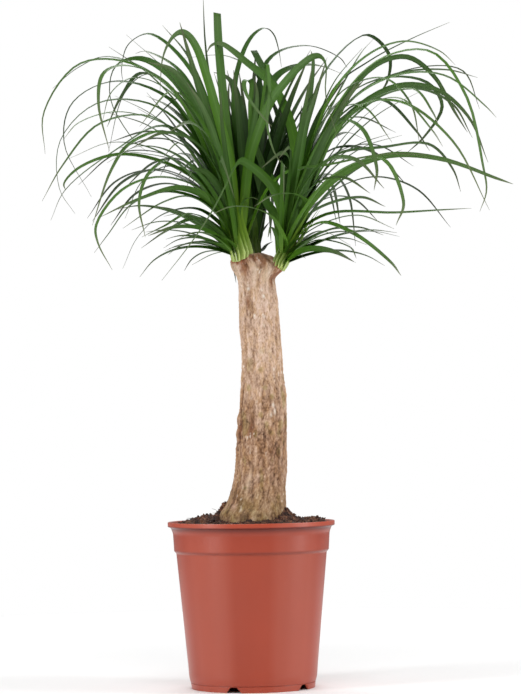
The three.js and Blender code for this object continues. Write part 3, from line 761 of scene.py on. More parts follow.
# Rings run up the pot's wall, over the heaped top to the hole inside the trunk and down the
# hole, and the last joins the first across the floor.
def makeSoil(material):
    s = soilSet
    turn = roundTurns(s["around"])[None, :]
    steps = np.array([*s["wallSteps"], (s["edgeZ"], 0)])
    wallZ = steps[:, :1]
    wallR = potInnerR(wallZ) - s["fromWall"] - steps[:, 1:]
    wall = np.stack([wallR * np.cos(turn), wallR * np.sin(turn), wallZ + 0 * turn], -1)
    out = np.linspace(1, 0, s["across"])[:, None]
    rimR = wallR[-1, 0] - 0.4
    innerX, innerY = s["holeX"] + s["holeR"] * np.cos(turn), s["holeR"] * np.sin(turn)
    x, y = innerX + (rimR * np.cos(turn) - innerX) * out, innerY + (rimR * np.sin(turn) - innerY) * out
    z = soilTop(x, y) + soilRoughness(x, y) * (0.35 + 0.65 * easeStep(0.0, 0.04, 1 - out))
    z = z - s["rimDrop"] * (1 - easeStep(0.0, 0.05, 1 - out))
    top = np.stack([x, y, z], -1)
    innerZ = np.array([*s["holeSteps"], s["bottomZ"]])[:, None]
    inner = np.stack([innerX + 0 * innerZ, innerY + 0 * innerZ, innerZ + 0 * turn], -1)
    corners = np.concatenate([wall, top, inner])
    faces = gridFaces(len(corners), s["around"], wrapRows=True)
    makePiece("soilMound", corners, faces, "soil", material)


# Places on the soil's surface, drawn evenly by area between the trunk and the wall.
def soilSpots(rng, count):
    nearR, farR = 30, float(potInnerR(np.array(soilSet["edgeZ"]))) - 3
    r = np.sqrt(rng.uniform(nearR ** 2, farR ** 2, count * 2))
    turn = rng.uniform(0, 2 * math.pi, count * 2)
    x, y = r * np.cos(turn), r * np.sin(turn)
    z = soilTop(x, y) + soilRoughness(x, y)
    inTrunk = ((x - stationAt(z, 1)) / (stationAt(z, 2) + 1)) ** 2 + (y / (stationAt(z, 3) + 1)) ** 2 < 1
    keep = np.flatnonzero(~inTrunk)[:count]
    return np.stack([x[keep], y[keep], z[keep]], -1)


crumbSet = {
    "count": 1300,
    "sides": 6,
    "rows": 5,
    "size": (0.7, 2.8),  # radius; most are near the least
    "squash": (0.55, 1.25),
    "dent": 0.28,
    "up": 0.3,
    "seed": 31,
}


# Loose crumbs are small balls with few corners, each squashed and dented at random.
def makeCrumbs(material):
    c = crumbSet
    rng = np.random.default_rng(c["seed"])
    spots = soilSpots(rng, c["count"])
    count = len(spots)
    turn = roundTurns(c["sides"])[None, :]
    tip = np.linspace(-1, 1, c["rows"])[:, None] * 0.5 * math.pi * 0.92
    ball = np.stack([np.cos(tip) * np.cos(turn), np.cos(tip) * np.sin(turn), np.sin(tip) + 0 * turn], -1)
    least, most = c["size"]
    size = least + (most - least) * rng.random(count) ** 3
    dents = 1 + c["dent"] * rng.standard_normal((count, *ball.shape[:2]))
    squash = rng.uniform(*c["squash"], (count, 3))
    corners = ball[None] * dents[..., None] * squash[:, None, None, :] * size[:, None, None, None]
    corners = corners + (spots + [0, 0, c["up"]])[:, None, None, :]
    faces = tubeFaces(c["rows"], c["sides"], count)
    makePiece("soilCrumbs", corners, faces, None, material)


fibreSet = {
    "count": 120,
    "steps": 7,
    "sides": 3,
    "length": (5, 13),
    "radius": (0.22, 0.5),
    "tilt": (-4, 62),  # degrees
    "bend": 1.6,  # most, in radians
    "up": 0.3,
    "seed": 32,
}


# A strand is a thin tube along a curve, thickest in its middle.
def strandCorners(paths, radii):
    along = unit(np.gradient(paths, axis=1))
    side = unit(np.cross(along, [0.31, 0.17, 0.93]))  # a slant that no strand follows
    up = np.cross(along, side)
    slim = np.sqrt(np.clip(1 - np.linspace(-0.96, 0.96, paths.shape[1]) ** 2, 0, 1))[None, :, None, None]
    turn = roundTurns(fibreSet["sides"])[:, None]
    ring = side[:, :, None] * np.cos(turn) + up[:, :, None] * np.sin(turn)
    return paths[:, :, None] + ring * slim * radii[:, None, None, None]


# Each fibre leaves the soil at its own heading and tilt, bends aside and sinks towards its tip.
def makeFibres(material):
    f = fibreSet
    rng = np.random.default_rng(f["seed"])
    spots = soilSpots(rng, f["count"])
    count = len(spots)
    heading = rng.uniform(0, 2 * math.pi, count)[:, None]
    tilt = np.radians(rng.uniform(*f["tilt"], count) * rng.random(count))[:, None]
    length = rng.uniform(*f["length"], count)[:, None]
    t = np.linspace(0, 1, f["steps"])[None, :]
    bend = rng.uniform(-f["bend"], f["bend"], count)[:, None] * t
    flat = length * t * np.cos(tilt)
    x = spots[:, :1] + flat * np.cos(heading + bend)
    y = spots[:, 1:2] + flat * np.sin(heading + bend)
    z = spots[:, 2:] + length * (t - 0.4 * t * t) * np.sin(tilt) + f["up"]
    corners = strandCorners(np.stack([x, y, z], -1), rng.uniform(*f["radius"], count))
    faces = tubeFaces(f["steps"], f["sides"], count)
    makePiece("soilFibres", corners, faces, None, material)


# Damp peat: its tint runs through the given colours, over a rough grain.
def makePeat(name, grainValues, stops, bumpStrength, bumpDepth):
    material, nodes, shader = newMaterial(name)
    grain = addGrain(nodes, grainValues)
    peat = nodes.ramp(nodes.times(grain["Tint"], 0.5), stops)
    join(nodes, shader, {"Base Color": peat, "Roughness": grain["Rough"],
                         "Normal": nodes.bump(grain["Height"], bumpStrength, bumpDepth)})
    return material


def makeSoilMaterial():
    values = {"Patch Scale": 110.0, "Patch": 1.1, "Grain Scale": 700.0, "Grain": 1.0, "Roughness": 0.92}
    return makePeat("dampSoil", values, [
        (0.30, colour(17, 9, 7)),
        (0.46, colour(50, 28, 20)),
        (0.56, colour(96, 60, 44)),
        (0.68, colour(160, 118, 90)),
    ], 0.7, 0.0012)


def makeFibreMaterial():
    values = {"Patch Scale": 70.0, "Patch": 1.2, "Grain Scale": 600.0, "Grain": 0.3, "Roughness": 0.9}
    return makePeat("peatFibre", values, [
        (0.3, colour(58, 40, 32)),
        (0.6, colour(128, 98, 74)),
    ], 0.3, 0.0005)


leafSet = {
    "rings": 36,
    "thick": 0.7,  # blade thickness
    "channel": 0.16,  # depth of the V along a blade, as a share of its width
    "narrow": 5,  # full width of a blade that looks as thin as a line
    "strapFrom": 8,  # a leaf seen this wide shows its width on the way up, others on the way down
    "slim": 4,  # and so does one seen this slim that leans back over its head
    "leastTurn": 0.2,  # radians
    "depthPower": 1.2,  # above one, a leaf reaches its depth late along its path
    "hidden": 0.05,  # share of a leaf that the clasping bases hide, so its colours start there
    "sunZ": (780, 870),  # between these heights the shade among the leaves clears
}


# The place at a depth that the camera sees where (across, up) would be above the pot's middle.
def placeSeen(across, up, depth):
    spread = 1 + depth / eye["distance"]
    return [eye["across"] + (across - eye["across"]) * spread, depth, eye["up"] + (up - eye["up"]) * spread]


# A drawn leaf's path: from its head's base through the places where it is seen, each of them
# further towards the depth of its tip.
def drawnPath(head, tipDepth, seen):
    root = np.array(head["base"], float)
    count = len(seen) // 2
    path = []
    for i in range(count):
        along = ((i + 1) / count) ** leafSet["depthPower"]
        depth = root[1] + (tipDepth - root[1]) * along
        path.append(placeSeen(seen[2 * i], seen[2 * i + 1], depth))
    reach, up = 6, 4
    root[0] += min(max((path[0][0] - root[0]) * 0.2, -reach), reach)
    root[2] += up
    return np.array([root, *path])


# Drawn leaves are turned so far that each looks as wide as it does. Leaves in front get a
# fresher green, painted light, and those behind the middle get painted shade, as if in the others' shade. A
# leaf that is cut blunt and comes towards the eye isn't turned.
def drawnLeaves(head, draw):
    leaves = []
    for seenWidth, tipDepth, seen, *blunt in head["leaves"]:
        path = drawnPath(head, tipDepth, seen)
        width = leafSet["narrow"] + seenWidth / 2
        x, y, _ = path[-1] - path[0]
        lying = math.asin(min(1, seenWidth / width)) - math.atan2(abs(y), abs(x)) / 2
        wide = seenWidth >= leafSet["strapFrom"] and not blunt
        within = abs(seen[-2] - head["base"][0]) < head["upWithin"]
        slimBehind = seenWidth <= leafSet["slim"] and tipDepth > 0 and within
        strap = 1 if wide or slimBehind else -1
        facing = blunt and abs(y) > abs(x)
        # leaves whose tips come forward get a fresher green: painted light
        front = 0.5 - 0.5 * max(-1, min(1, (tipDepth + 10) / 90))
        shaded = abs(seen[-2] - eye["across"]) < 90 and tipDepth > 40
        leaves.append({
            "path": path,
            "width": width,
            "turn": 0 if facing else strap * float(np.sign(x * y)) * max(leafSet["leastTurn"], lying),
            "blunt": blunt[0] if blunt else 0,
            "toneAndLight": 0.5 * front + 0.45 * draw(),
            "dim": max(head["dim"], 0.9 if shaded else 0),
            "hidden": leafSet["hidden"],
        })
    return leaves


# What is the same for all leaves that are made by rule; a pair is the least and the most.
ruleSet = {
    "bends": 5,
    "rootOut": 4,
    "rise": (60, 84),  # degrees, as the droop is
    "droop": (90, 140),
    "droopPower": 1.4,
    "width": (7, 10),
    "turn": (-0.4, 0.4),  # radians, as the twist is
    "twist": 0.95,  # more turn, for leaves that come straight forward
}


# A leaf by rule leaves the crown at a heading and a steep rise, droops more and more towards
# its tip, and swings sideways a little.
def droopingPath(head, heading, rise, droop, length, swing):
    steps = ruleSet["bends"]
    t = (np.arange(steps) + 0.5) / steps
    climb = rise - droop * t ** ruleSet["droopPower"]
    swung = heading + swing * t * t
    out = np.stack([np.cos(swung), np.sin(swung), 0 * t], -1)
    moves = length / steps * (np.cos(climb)[:, None] * out + np.sin(climb)[:, None] * [0, 0, 1])
    start = head["base"] + ruleSet["rootOut"] * np.array([math.cos(heading), math.sin(heading), 0])
    return np.vstack([start, start + np.cumsum(moves, axis=0)])


# Rules spread their leaves over a range of headings. A leaf that comes straight forward
# swings aside and twists more, and one that points backwards gets a deeper green and more painted shade.
def ruledLeaves(head):
    leaves = []
    for rule in head["rules"] + head["filling"]:
        r = {**ruleSet, **rule}
        draw = Draw(r["seed"])
        for i in range(r["count"]):
            heading = math.radians(r["from"] + (r["to"] - r["from"]) * (i + draw()) / r["count"])
            length = between(r["length"], draw)
            rise = math.radians(between(r["rise"], draw))
            droop = math.radians(between(r["droop"], draw))
            width = between(r["width"], draw)
            turn = between(r["turn"], draw)
            forward = float(easeStep(0.7, 0.95, -math.sin(heading)))
            away = math.sin(heading) > 0
            leaves.append({
                "path": droopingPath(head, heading, rise, droop, length, turn * (1 + 1.6 * forward)),
                "width": width,
                "turn": turn + math.copysign(r["twist"], turn) * forward,
                # leaves that point backwards get a deeper green: painted shade
                "toneAndLight": 0.15 if away else 0.5,
                "dim": max(head["ruledDim"], rule.get("dim", 0.8 if away else 0.2)),
                "hidden": leafSet["hidden"],
            })
    return leaves


# Turns offsets from a head's base by the head's lean.
def leaned(head, offsets):
    x, y, z = np.moveaxis(np.asarray(offsets, float), -1, 0)
    c, s = math.cos(head["lean"]), math.sin(head["lean"])
    return np.stack([x * c + z * s, y, z * c - x * s], -1) + head["base"]


claspSet = {
    "count": 15,
    "step": 2.4,  # radians from one to the next, as leaves wind up a stem
    "tall": (50, 104),
    "width": 14.5,
    "fullLeaf": 760,  # a clasp has the colours of the lowest part of a leaf this long
    "sheathEvery": 3,  # one in three has the full pale edges of a sheath
    "faintSheath": 0.2,
}


# Short overlapping leaf bases that clasp the crown all round and part towards their tips.
def clasps(head, draw):
    leaves = []
    s = claspSet
    for k in range(s["count"]):
        turn = k * s["step"] + 0.3 * draw()
        tall = between(s["tall"], draw)
        out = head["crownR"] * np.array([0.74, 0.86, 0.9, 1.0 + 0.3 * draw(), 1.3 + 0.7 * draw()])
        up = tall * np.array([-0.07, 0.12, 0.35, 0.65, 1.0])
        leaves.append({
            "path": leaned(head, np.stack([out * math.cos(turn), out * math.sin(turn), up], -1)),
            "width": s["width"],
            "turn": 0.3 * (draw() - 0.5),
            "toneAndLight": 0.6 + 0.4 * draw(),
            "dim": head["dim"],
            "reach": tall / s["fullLeaf"],
            "sheath": s["faintSheath"] if k % s["sheathEvery"] else 1,
        })
    return leaves


# One value of every leaf, shaped to meet the blades' grid.
def perLeaf(leaves, key, usual=0):
    return np.array([leaf.get(key, usual) for leaf in leaves])[:, None, None]


# All blades of a head at once. A blade's section has four corners: two edges, a valley
# between them on top, and a keel below. It is carried along the leaf's path, wide at the
# clasping base, narrowing evenly, and running out in a hair-thin tip.
def bladeGrid(leaves, t):
    paths = np.stack([smoothPath(leaf["path"], leafSet["rings"]) for leaf in leaves])
    widths, turns, blunts = (perLeaf(leaves, key) for key in ("width", "turn", "blunt"))
    along = unit(np.gradient(paths, axis=1))
    heading = paths[:, -1] - paths[:, 0]
    flat = unit(np.stack([-heading[:, 1], heading[:, 0], 0 * heading[:, 0]], -1))[:, None, :]
    side = unit(flat - along * np.sum(flat * along, -1, keepdims=True))
    up = np.cross(along, side)
    across = side * np.cos(turns) + up * np.sin(turns)
    normal = np.cross(along, across)
    hair = 0.25  # half the width that is left at the tip
    taper = np.minimum(0.9 + 4 * t, 1.65 - (1.15 - blunts) * t) * (1 - (1 - blunts) * t ** 7)
    half = 0.5 * widths * taper + hair
    valley = leafSet["channel"] * 2 * half * (1 - 0.5 * t) * (1 - blunts * easeStep(0.6, 0.9, t))
    lift = 0.6 * valley
    edges = [paths + sign * across * half + normal * lift for sign in (1, -1)]
    top = paths - normal * (valley - lift)
    keel = top - normal * leafSet["thick"] * (1 - 0.6 * t)
    return np.stack([edges[0], top, edges[1], keel], 2)


crownSet = {
    "rows": 22,
    "sides": 40,
    "flutes": 5,
    "flute": 0.05,  # depth, as a share of the radius
}


# The crown of packed leaf bases: a bulb turned about its own leaning axis, with the bases'
# overlapping edges as shallow flutes.
def crownGrid(head):
    c = crownSet
    r, h = head["crownR"], head["crownH"]
    outline = smoothPath([[r * 0.3, -6.9], [r * 0.8, -6.5], [r, 1], [r * 0.95, h * 0.5], [r * 0.6, h * 0.9],
                          [r * 0.1, h]], c["rows"])
    wide, high = outline[:, :1], outline[:, 1:]
    turn = roundTurns(c["sides"])[None, :]
    wide = wide * (1 + c["flute"] * np.sin(c["flutes"] * turn + high / 9) - 0.04)
    return leaned(head, np.stack([wide * np.cos(turn), wide * np.sin(turn), high + 0 * turn], -1))


# The blades' two edges stay crisp: an edge that runs between corners of the same edge line is
# marked sharp.
def sharpenEdges(piece, leafCorners):
    mesh = piece.data
    ends = np.empty(len(mesh.edges) * 2, np.int32)
    mesh.edges.foreach_get("vertices", ends)
    ends = ends.reshape(-1, 2)
    sameLine = (ends[:, 0] % 4 == ends[:, 1] % 4) & (ends[:, 0] % 2 == 0) & (ends.max(axis=1) < leafCorners)
    mesh.attributes.new("sharp_edge", "BOOLEAN", "EDGE").data.foreach_set("value", sameLine)


# Each head has drawn leaves: [width seen, tip depth, [across, up, across, up, ...], blunt
# tip's share of the width]. Its other leaves follow rules, each for a range of headings in
# degrees and of lengths. The filling leaves lie in the gaps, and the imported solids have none.
headSets = {
    "head_left": {
        "base": [-11, -12, 618],  # where it grows from
        "lean": -0.2,  # of its crown, in radians
        "crownR": 13.5,
        "crownH": 52,
        "upWithin": 300,  # how near the base, seen from the front, a slim leaf behind counts as over it
        "dim": 0,  # least shade on its drawn leaves
        "ruledDim": 0,  # and on the others
        "seed": 5044,
        "leaves": [
            [4, -110, [-35, 676, -65, 748, -130, 821, -210, 814, -265, 754, -295, 703]],
            [3, 35, [-35, 686, -80, 796, -140, 842, -215, 843, -268, 790, -270, 721, -248, 684]],
            [4, 125, [-45, 726, -105, 844, -190, 875, -250, 844, -262, 786, -224, 708]],
            [4, -45, [-45, 741, -100, 854, -170, 902, -240, 900, -291, 831, -290, 771]],
            [2, 170, [-45, 741, -110, 866, -195, 911, -240, 896, -278, 866]],
            [5, -200, [-45, 736, -110, 868, -165, 897, -203, 888, -212, 844, -197, 774]],
            [8, 85, [-50, 776, -100, 874, -150, 907, -187, 896, -195, 851, -160, 787, -142, 772]],
            [4, 70, [-40, 796, -85, 899, -138, 943, -168, 928, -178, 894, -176, 872]],
            [5, 145, [-45, 766, -100, 856, -150, 886, -180, 851, -200, 809]],
            [4, 115, [-45, 760, -95, 850, -140, 885, -175, 856, -199, 772]],
            [2, -80, [-45, 765, -110, 860, -160, 880, -193, 859, -207, 816]],
            [2, -145, [-60, 771, -120, 814, -185, 831, -240, 816, -264, 791]],
            [5, -180, [-50, 741, -110, 800, -165, 786, -195, 746, -223, 667]],
            [4, 55, [-60, 766, -120, 809, -190, 774, -262, 718, -283, 675]],
            [3, 110, [-40, 760, -70, 821, -92, 851, -130, 821, -150, 802]],
            [5, -35, [-50, 706, -100, 748, -180, 769, -240, 751, -263, 728, -261, 718]],
            [2, -125, [-50, 720, -100, 758, -155, 771, -172, 771]],
            [4, -90, [-45, 696, -80, 725, -130, 735, -180, 717, -217, 668, -215, 641, -195, 602]],
            [8, -135, [-45, 694, -95, 719, -155, 704, -213, 678]],
            [4, 25, [-45, 686, -110, 714, -165, 697, -200, 654, -221, 627]],
            [4, -155, [-50, 721, -100, 762, -138, 744, -155, 701, -147, 649]],
            [4, 90, [-50, 715, -110, 751, -150, 730, -176, 676]],
            [4, -110, [-40, 676, -80, 706, -120, 699, -179, 662]],
            [4, 65, [-30, 656, -70, 688, -120, 682, -158, 649, -180, 604]],
            [4, -135, [-35, 656, -80, 682, -120, 664, -152, 649]],
            [8, 65, [-30, 646, -75, 674, -115, 658, -153, 633]],
            [4, -70, [-40, 661, -85, 673, -133, 647]],
            [3, -125, [-25, 641, -65, 654, -93, 650]],
            [3, -55, [-24, 633, -60, 642, -113, 632]],
            [3, 50, [-26, 627, -50, 623, -80, 608]],
            [11, -100, [-19, 716, -26, 770, -40, 825, -55, 881, -69, 922, -81, 940, -92, 945, -105, 936,
                        -118, 909, -123, 860]],
            [3, 55, [-38, 786, -80, 906, -118, 955]],
            [4, 135, [-45, 781, -92, 886, -140, 917, -158, 915]],
            [5, 40, [-24, 743, -38, 810, -50, 868, -57, 930, -59, 1000]],
            [10, 25, [-20, 725, -31, 835, -37, 915, -39, 972], 0.9],
            [11, -120, [-22, 698, -33, 747, -47, 798, -63, 838, -84, 872]],
            [11, -125, [-30, 720, -50, 790, -75, 850, -104, 890, -140, 902]],
            [10, -60, [-3, 716, 5, 779, 13, 819, 17, 851, 15, 874]],
            [2, -215, [-40, 760, -80, 840, -108, 859, -153, 809]],
            [2, -110, [-30, 690, -60, 740, -95, 784, -120, 764]],
            [5, -15, [-7, 639, -2, 662, 9, 678, 27, 689]],
            [3, -40, [-11, 671, -4, 699, 6, 704, 16, 701]],
            [10, -145, [-4, 698, 4, 757, 18, 800, 36, 842, 55, 867, 77, 891, 97, 906, 109, 907, 117, 894,
                        116, 850, 134, 784]],
            [1, -85, [4, 725, 18, 797, 28, 860, 32, 897, 35, 858, 31, 810, 42, 766, 59, 745]],
            [3, -95, [7, 760, 8, 840, 9, 872, -1, 872, 2, 853, 25, 820, 38, 806]],
            [6, -110, [11, 676, 31, 716, 55, 738, 85, 746, 114, 749, 200, 764, 260, 762]],
        ],
        "rules": [
            {"count": 6, "from": 215, "to": 260, "length": [240, 360], "seed": 4021},
            {"count": 9, "from": 112, "to": 150, "length": [290, 430], "seed": 533},
        ],
        "filling": [
            {"count": 13, "from": 150, "to": 238, "length": [100, 215], "rise": [22, 52], "droop": [45, 85],
             "seed": 61, "dim": 0.3},
            {"count": 12, "from": 105, "to": 265, "length": [250, 370], "rise": [68, 83], "droop": [25, 70],
             "width": [9, 13], "seed": 1699, "dim": 0.35},
        ],
    },
    "head_right": {
        "base": [47, -10, 606],
        "lean": 0.45,
        "crownR": 11,
        "crownH": 50,
        "upWithin": 130,
        "dim": 0,
        "ruledDim": 0,
        "seed": 4850,
        "leaves": [
            [3, 70, [75, 706, 125, 856, 180, 899, 240, 930, 297, 954]],
            [4, -35, [70, 696, 125, 851, 180, 909, 232, 927, 282, 912, 304, 892]],
            [4, -110, [90, 740, 150, 861, 205, 906, 270, 911, 319, 846, 341, 748, 346, 709, 336, 679]],
            [7, 65, [95, 751, 130, 826, 190, 893, 235, 904, 272, 877, 302, 824, 320, 794]],
            [4, 135, [80, 730, 150, 841, 215, 879, 290, 885, 336, 873]],
            [4, -70, [80, 735, 155, 844, 225, 879, 290, 876, 345, 833, 362, 815]],
            [2, 155, [85, 750, 130, 820, 190, 868, 260, 890, 316, 882, 338, 828]],
            [7, 20, [85, 696, 135, 806, 215, 861, 275, 857, 322, 816, 349, 750]],
            [4, 110, [90, 740, 190, 844, 250, 858, 300, 834, 327, 786]],
            [4, -145, [90, 750, 130, 810, 200, 851, 245, 857, 270, 824, 278, 806]],
            [5, -170, [95, 726, 160, 831, 225, 839, 298, 782, 350, 681]],
            [4, 90, [90, 750, 150, 831, 200, 842, 245, 798, 265, 768]],
            [4, -100, [90, 770, 140, 856, 200, 874, 238, 838, 251, 778]],
            [4, 155, [90, 770, 140, 845, 200, 874, 262, 867, 284, 832, 258, 789, 233, 766]],
            [3, -200, [90, 750, 130, 800, 180, 838, 225, 844, 268, 799, 284, 774]],
            [4, 110, [82, 766, 112, 878, 175, 937, 208, 909, 206, 871, 188, 844]],
            [10, 45, [63, 724, 71, 760, 77, 787, 81, 836]],
            [11, -50, [65, 692, 75, 751, 86, 805, 99, 843, 118, 902]],
            [12, -100, [72, 692, 85, 729, 104, 772, 126, 808, 150, 849, 172, 872]],
            [11, 30, [70, 710, 86, 764, 101, 808, 119, 842, 145, 874]],
            [4, 60, [80, 778, 90, 821, 99, 898, 96, 915]],
            [3, 125, [80, 740, 110, 806, 165, 906, 186, 931]],
            [3, -80, [80, 740, 105, 816, 130, 871, 170, 918]],
            [8, -120, [70, 666, 130, 731, 200, 761, 280, 756, 360, 727, 385, 718]],
            [5, -200, [68, 660, 125, 734, 195, 758, 226, 696, 215, 661]],
            [4, 80, [85, 696, 125, 761, 200, 774, 265, 777, 298, 741, 309, 708]],
            [5, -225, [90, 726, 135, 811, 168, 801, 188, 746, 184, 712]],
            [4, -125, [85, 720, 140, 831, 172, 832, 211, 781]],
            [6, 70, [62, 646, 100, 685, 165, 702, 200, 688]],
            [4, -25, [62, 641, 115, 678, 215, 679, 280, 682, 324, 684]],
            [4, -110, [60, 631, 105, 663, 160, 676, 212, 656]],
            [6, -160, [60, 634, 105, 666, 155, 649, 205, 609, 221, 588]],
            [3, 45, [62, 626, 105, 654, 149, 633]],
            [3, -65, [62, 620, 100, 641, 148, 630, 157, 614]],
            [4, -50, [60, 624, 80, 639, 105, 648]],
            [2, -25, [60, 616, 72, 621, 84, 615]],
            [10, -245, [60, 655, 49, 692, 37, 720, 21, 738, 5, 751, -8, 757, -19, 743, -29, 723, -52, 681,
                        -85, 634, -124, 586]],
            [6, -165, [54, 636, 48, 656, 36, 675, 21, 685, -2, 691, -27, 690, -50, 680]],
            [5, -170, [77, 677, 85, 697, 70, 708, 52, 709, 34, 705, 11, 691]],
            [10, 20, [71, 724, 71, 778, 61, 823, 45, 858, 26, 881, 5, 898, -17, 917, -35, 928, -48, 925,
                      -55, 914]],
            [9, 60, [69, 733, 66, 787, 54, 836, 40, 869, 26, 892, 13, 917], 0.85],
            [11, 95, [60, 706, 56, 742, 44, 787, 34, 822, 28, 850]],
            [11, 15, [56, 678, 42, 719, 26, 746, 12, 786, 4, 812]],
            [10, 12, [45, 670, 27, 700, 15, 734, 8, 757]],
            [11, 75, [62, 724, 60, 760, 52, 804, 43, 833, 30, 860]],
            [3, -35, [46, 630, 42, 646, 35, 661, 30, 646]],
        ],
        "rules": [
            {"count": 5, "from": -88, "to": -52, "length": [240, 360], "seed": 911},
            {"count": 9, "from": 40, "to": 70, "length": [290, 430], "seed": 1207},
        ],
        "filling": [
            {"count": 10, "from": -58, "to": 36, "length": [90, 190], "rise": [18, 48], "droop": [40, 80],
             "seed": 73, "dim": 0.3},
            {"count": 9, "from": -70, "to": 75, "length": [240, 350], "rise": [60, 80], "droop": [25, 70],
             "width": [9, 13], "seed": 2203, "dim": 0.35},
        ],
    },
    "head_back": {
        "base": [8, 18, 621],
        "lean": 0,
        "crownR": 10,
        "crownH": 52,
        "upWithin": 300,
        "dim": 1,
        "ruledDim": 0.6,
        "seed": 5044,
        "leaves": [
            [3, 85, [15, 800, 20, 876, -25, 909, -92, 907]],
            [9, 70, [4, 734, 1, 788, -7, 833, -16, 866, -28, 880, -45, 886]],
            [4, 150, [10, 756, 33, 901, 88, 923, 135, 906, 148, 890]],
            [8, 170, [20, 786, 33, 858, 48, 881, 69, 892, 91, 895, 113, 892, 141, 881]],
            [3, 45, [14, 643, 32, 668]],
            [4, 60, [-10, 740, -16, 838, -12, 882, 3, 925, 17, 943, 31, 949, 42, 940, 49, 918, 53, 892]],
            [3, 50, [-8, 640, -20, 622, -17, 581]],
            [10, 60, [2, 689, -10, 743, -15, 788, -16, 830]],
            [12, 55, [8, 641, 6, 671, 4, 707, 6, 747, 10, 790]],
            [10, 75, [12, 650, 16, 689, 20, 725, 17, 761, 14, 800]],
            [10, 90, [10, 665, 17, 700, 28, 743, 28, 788, 36, 833]],
            [10, 110, [10, 665, 24, 712, 42, 760, 56, 820]],
            [9, 90, [2, 690, -14, 760, -30, 830]],
            [9, 95, [11, 660, 26, 700, 60, 760, 84, 800]],
            [3, 40, [21, 627, 28, 635, 37, 640]],
        ],
        "rules": [
            {"count": 14, "from": 72, "to": 110, "length": [300, 440], "seed": 77},
        ],
        "filling": [
            {"count": 15, "from": -40, "to": 120, "length": [210, 330], "rise": [76, 89], "droop": [10, 50],
             "width": [10, 15], "seed": 97, "dim": 1},
            {"count": 9, "from": 115, "to": 235, "length": [225, 285], "rise": [78, 87], "droop": [5, 30],
             "width": [11, 15], "seed": 421, "dim": 0.6},
        ],
    },
}


# A head is its blades and its crown in one mesh, with the marks that the leaf material reads.
def makeHead(name, head, material):
    draw = Draw(head["seed"])
    leaves = drawnLeaves(head, draw) + ruledLeaves(head) + clasps(head, draw)
    t = np.linspace(0, 1, leafSet["rings"])[None, :, None]
    blades = bladeGrid(leaves, t)
    crown = crownGrid(head)
    hidden = perLeaf(leaves, "hidden")
    cut = perLeaf(leaves, "blunt") > 0
    shade = 1 - 0.8 * easeStep(*leafSet["sunZ"], blades[..., 2])
    # each mark's values on the blades, by leaf, ring and corner, and its value on the crown
    marks = {
        "along": ((hidden + (1 - hidden) * t) * perLeaf(leaves, "reach", 1) * (1 - 0.3 * cut), 0.02),
        "toneAndLight": (perLeaf(leaves, "toneAndLight"), 0.6),
        "across": (np.array([1, 0, -1, 0]), 0.5),
        "under": (np.array([0, 0, 0, 1]), 0),
        "sheath": (perLeaf(leaves, "sheath", 0.15), 0),
        "dim": (perLeaf(leaves, "dim") * shade, head["dim"]),
    }
    count, rings, sides = blades.shape[:3]
    crownCorners = crown.shape[0] * crown.shape[1]
    joined = {key: np.concatenate([np.broadcast_to(onBlades, (count, rings, sides)).ravel(),
                                   np.full(crownCorners, onCrown)])
              for key, (onBlades, onCrown) in marks.items()}
    bladeCorners = count * rings * sides
    faces = tubeFaces(rings, sides, count) + tubeFaces(*crown.shape[:2], first=bladeCorners)
    corners = np.concatenate([blades.reshape(-1, 3), crown.reshape(-1, 3)])
    piece = makePiece(name + "Leaves", corners, faces, name, material, joined)
    sharpenEdges(piece, bladeCorners)


# Satin green blades: pale at the base, deep or fresh green by their tone and painted light, greyer towards
# the tip and underneath, with a lighter rib, fine veins, pale sheath edges and painted shade.
def makeLeafMaterial():
    material, nodes, shader = newMaterial("strapLeaf")
    along, across = nodes.mark("along"), nodes.mark("across")
    grain = addGrain(nodes, {"Patch Scale": 24.0, "Patch": 0.5, "Grain Scale": 700.0, "Grain": 0.12,
                             "Roughness": 0.46})
    deep = nodes.ramp(along, [
        (0.0, colour(176, 196, 104)),
        (0.035, colour(112, 150, 46)),
        (0.12, colour(54, 96, 20)),
        (0.45, colour(44, 82, 20)),
        (0.75, colour(58, 86, 38)),
        (1.0, colour(94, 98, 72)),
    ])
    fresh = nodes.ramp(along, [
        (0.0, colour(206, 222, 132)),
        (0.05, colour(146, 184, 54)),
        (0.18, colour(98, 148, 30)),
        (0.5, colour(76, 122, 32)),
        (0.8, colour(84, 114, 58)),
        (1.0, colour(108, 114, 82)),
    ])
    # deep or fresh green: tone that differs at random, and painted light on the leaves in front
    green = nodes.mix(nodes.mark("toneAndLight"), deep, fresh)
    green = nodes.mix(nodes.times(nodes.mark("under"), 0.3), green, colour(96, 126, 78))
    fromRib = nodes.math("ABSOLUTE", across)
    green = nodes.tinted(green, nodes.ramp(fromRib, [(0.0, (1.18, 1.2, 1.1)), (0.2, grey(0.97))]))
    patches = nodes.ramp(nodes.times(grain["Tint"], 0.5), [(0.3, grey(0.7)), (0.7, grey(1.3))])
    green = nodes.tinted(green, patches)
    nearRoot = nodes.ramp(along, [(0.02, grey(1)), (0.07, grey(0))])
    atEdge = nodes.ramp(fromRib, [(0.62, grey(0)), (0.95, grey(0.75))])
    pale = nodes.times(nodes.times(nearRoot, atEdge), nodes.mark("sheath"))
    green = nodes.mix(pale, green, colour(232, 238, 206))
    green = nodes.mix(nodes.times(nodes.mark("dim"), 0.88), green, nodes.tinted(green, (0.2, 0.26, 0.2)))
    veins = nodes.math("SINE", nodes.times(across, 44.0))
    join(nodes, shader, {"Base Color": green, "Roughness": grain["Rough"],
                         "Normal": nodes.bump(veins, 0.2, 0.0003)})
    shader.inputs["Specular IOR Level"].default_value = 0.28
    return material


